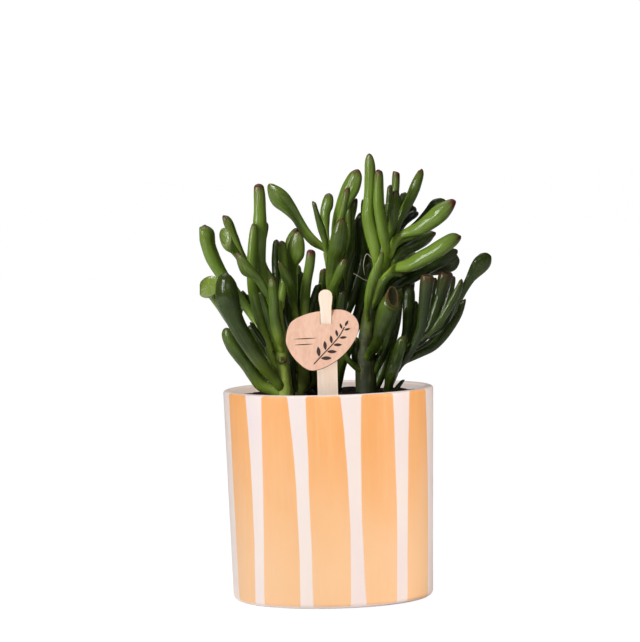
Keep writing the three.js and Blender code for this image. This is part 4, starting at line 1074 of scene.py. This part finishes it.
def cut_board(name, outlines, thickness, rounding, place, skin):
    """Flat boards sawn to the outlines, with any outline that lies inside another cut out of it."""
    curve = bpy.data.curves.new(name, "CURVE")
    curve.dimensions = "2D"
    curve.fill_mode = "BOTH"
    curve.extrude = thickness / 2 - rounding
    curve.bevel_depth = rounding
    curve.bevel_resolution = BOARD_EDGE_STEPS
    curve.offset = -rounding
    for outline in outlines:
        spline = curve.splines.new("POLY")
        spline.use_cyclic_u = True
        spline.points.add(len(outline) - 1)
        for point, (x, y) in zip(spline.points, outline):
            point.co = (x, y, 0, 1)
    holder = bpy.data.objects.new(name + "_outline", curve)
    bpy.context.collection.objects.link(holder)
    seen_by = bpy.context.evaluated_depsgraph_get()
    mesh = bpy.data.meshes.new_from_object(holder.evaluated_get(seen_by), depsgraph=seen_by)
    bpy.data.objects.remove(holder)
    shape = bmesh.new()
    shape.from_mesh(mesh)
    bmesh.ops.remove_doubles(shape, verts=shape.verts, dist=BOARD_WELD)
    bmesh.ops.recalc_face_normals(shape, faces=shape.faces)
    shape.to_mesh(mesh)
    shape.free()
    mesh.transform(place)
    mesh.materials.clear()
    mesh.materials.append(skin)
    return mesh


heights, halves = np.array(STICK_WIDTHS).T * MM
sides = [(half, height) for height, half in zip(heights, halves)]
stick_outline = sides + [(-half, height) for half, height in reversed(sides)]
stick_place = Matrix.Translation((STICK_X, STICK_Y, 0)) @ Matrix.Rotation(math.radians(90), 4, "X")
stick_wood = wood("stick_wood", (0, 1, 0), **STICK_WOOD)
stick_mesh = cut_board("planed_stick", [stick_outline], STICK_THICKNESS, STICK_ROUND, stick_place,
                       stick_wood)
lit_with_pot(piece("planed_stick", stick_mesh, "stick_wood", "wooden_stick"))


# --- Tag -----------------------------------------------------------------------------------------
# A rounded, lopsided tag of thin plywood, cut by laser, so that its edge is burnt brown. It leans on
# the stick's neck, which passes through its slot. A small sprig and two plain writing lines are burnt
# into its front.
TAG_LEAN, TAG_HEIGHT, TAG_THICKNESS, TAG_ROUND = 20, 141.5 * MM, 1 * MM, 0.12 * MM
TAG_WOOD = {"light": (234, 192, 168), "dark": (220, 174, 148), "sawn_edge": (96, 60, 40)}
SLOT_HALF_WIDTH, SLOT_HALF_HEIGHT = 2.95 * MM, 2.9 * MM
TAG_CORNER_STEPS = 10
TAG_CORNERS = [(-19.8, -9.5), (-17.2, -1.6), (-9.4, 2.5), (0, 4.1), (8.6, 4.1), (14.3, 0.3), (15.9, -5.8),
               (11.6, -14.8), (3.2, -22.6), (-7.3, -26.4), (-14.6, -21.6), (-18.9, -14.8)]
PRINT_THICKNESS = 0.05 * MM
DARK_SOOT, BROWN_SOOT = tint(40, 24, 22), tint(66, 42, 34)
# The sprig and the writing lines are in millimetres, measured from the tag's slot
SPRIG_STATIONS, SPRIG_PAIRS_AT, SPRIG_TAPER = 17, range(3, 16, 3), 0.03
SPRIG_STEM = [(-6.5, -23.2), (-2.2, -18.6), (2.6, -13.6), (6.2, -9.4), (9.0, -4.6)]
SPRIG_STEM_HALF, SPRIG_LEAF, SPRIG_LEAF_WIDTH, SPRIG_LEAF_SPREAD = 0.28, 5.8, 2.1, 48
SPRIG_LEAF_GAP, SPRIG_TOP_GAP, SPRIG_TOP_LEAF, SPRIG_TOP_WIDTH = 0.55, 0.4, 3.4, 1.3
WRITING_WIDTH = 0.5
WRITING_LINES = [((-16.2, -10.2), (-4.6, -9.9)), ((-16.0, -13.2), (-6.4, -12.9))]


def rounded(corners, steps):
    """A closed smooth outline through the corners."""
    points = []
    for i in range(len(corners)):
        a, b, c, d = (np.array(corners[(i + k) % len(corners)]) * MM for k in (-1, 0, 1, 2))
        for t in np.arange(steps) / steps:
            points.append(tuple((2 * b + (c - a) * t + (2 * a - 5 * b + 4 * c - d) * t * t
                                 + (3 * b - a - 3 * c + d) * t ** 3) / 2))
    return points


def sliver(start, end, width, steps=9):
    """The outline of a pointed leaf or stroke between two places, widest at its middle."""
    start, end = np.array(start), np.array(end)
    across = unit(np.array([start[1] - end[1], end[0] - start[0]]))
    spots = [(t, math.sin(math.pi * t) ** 0.8 * width / 2) for t in np.linspace(0.02, 0.98, steps)]
    there = [start + (end - start) * t + across * half for t, half in spots]
    back = [start + (end - start) * t - across * half for t, half in reversed(spots)]
    return [tuple(point * MM) for point in there + back]


slot = [(SLOT_HALF_WIDTH * x, SLOT_HALF_HEIGHT * y) for x, y in ((-1, -1), (1, -1), (1, 1), (-1, 1))]
tag_turn = Matrix.Rotation(math.radians(90 - TAG_LEAN), 4, "X")
tag_place = Matrix.Translation((STICK_X, STICK_Y, TAG_HEIGHT)) @ tag_turn
tag_wood = wood("tag_wood", tuple(tag_turn @ Vector((0, 0, 1))), **TAG_WOOD)
tag_outline = rounded(TAG_CORNERS, TAG_CORNER_STEPS)
tag_mesh = cut_board("slotted_tag", [tag_outline, slot], TAG_THICKNESS, TAG_ROUND, tag_place, tag_wood)
piece("slotted_tag", tag_mesh, "tag_wood", "plant_tag")

burn = Finish("burnt_print")
soot = burn.noise(burn.stretched(1, 1, 0.1), 1200, 3.0, seed=2)
burnt = burn.surface(burn.mix(soot, DARK_SOOT, BROWN_SOOT), 0.75)
stem_line = flow(np.array(SPRIG_STEM), np.linspace(0, 1, SPRIG_STATIONS))
headings = np.gradient(stem_line, axis=0)
across_stem = unit(np.stack([-headings[:, 1], headings[:, 0]], axis=1))
left_side = stem_line + across_stem * SPRIG_STEM_HALF
right_side = stem_line - across_stem * SPRIG_STEM_HALF
strokes = [[tuple(p * MM) for p in [*left_side, *right_side[::-1]]]]
for at in SPRIG_PAIRS_AT:
    heading = math.degrees(math.atan2(headings[at][1], headings[at][0]))
    size = 1.0 - SPRIG_TAPER * at
    for side in (-1, 1):
        turn = math.radians(heading + side * SPRIG_LEAF_SPREAD)
        root = stem_line[at] + across_stem[at] * side * SPRIG_LEAF_GAP
        tip = root + np.array([math.cos(turn), math.sin(turn)]) * SPRIG_LEAF * size
        strokes.append(sliver(root, tip, SPRIG_LEAF_WIDTH * size))
onward = unit(headings[-1])
top_root = stem_line[-1] + onward * SPRIG_TOP_GAP
strokes.append(sliver(top_root, top_root + onward * SPRIG_TOP_LEAF, SPRIG_TOP_WIDTH))
strokes += [sliver(start, end, WRITING_WIDTH, 15) for start, end in WRITING_LINES]
print_lift = Matrix.Translation((0, 0, TAG_THICKNESS / 2 + PRINT_THICKNESS * 0.3))
print_mesh = cut_board("burnt_sprig", strokes, PRINT_THICKNESS, 0, tag_place @ print_lift, burnt)
piece("burnt_sprig", print_mesh, "tag_wood")
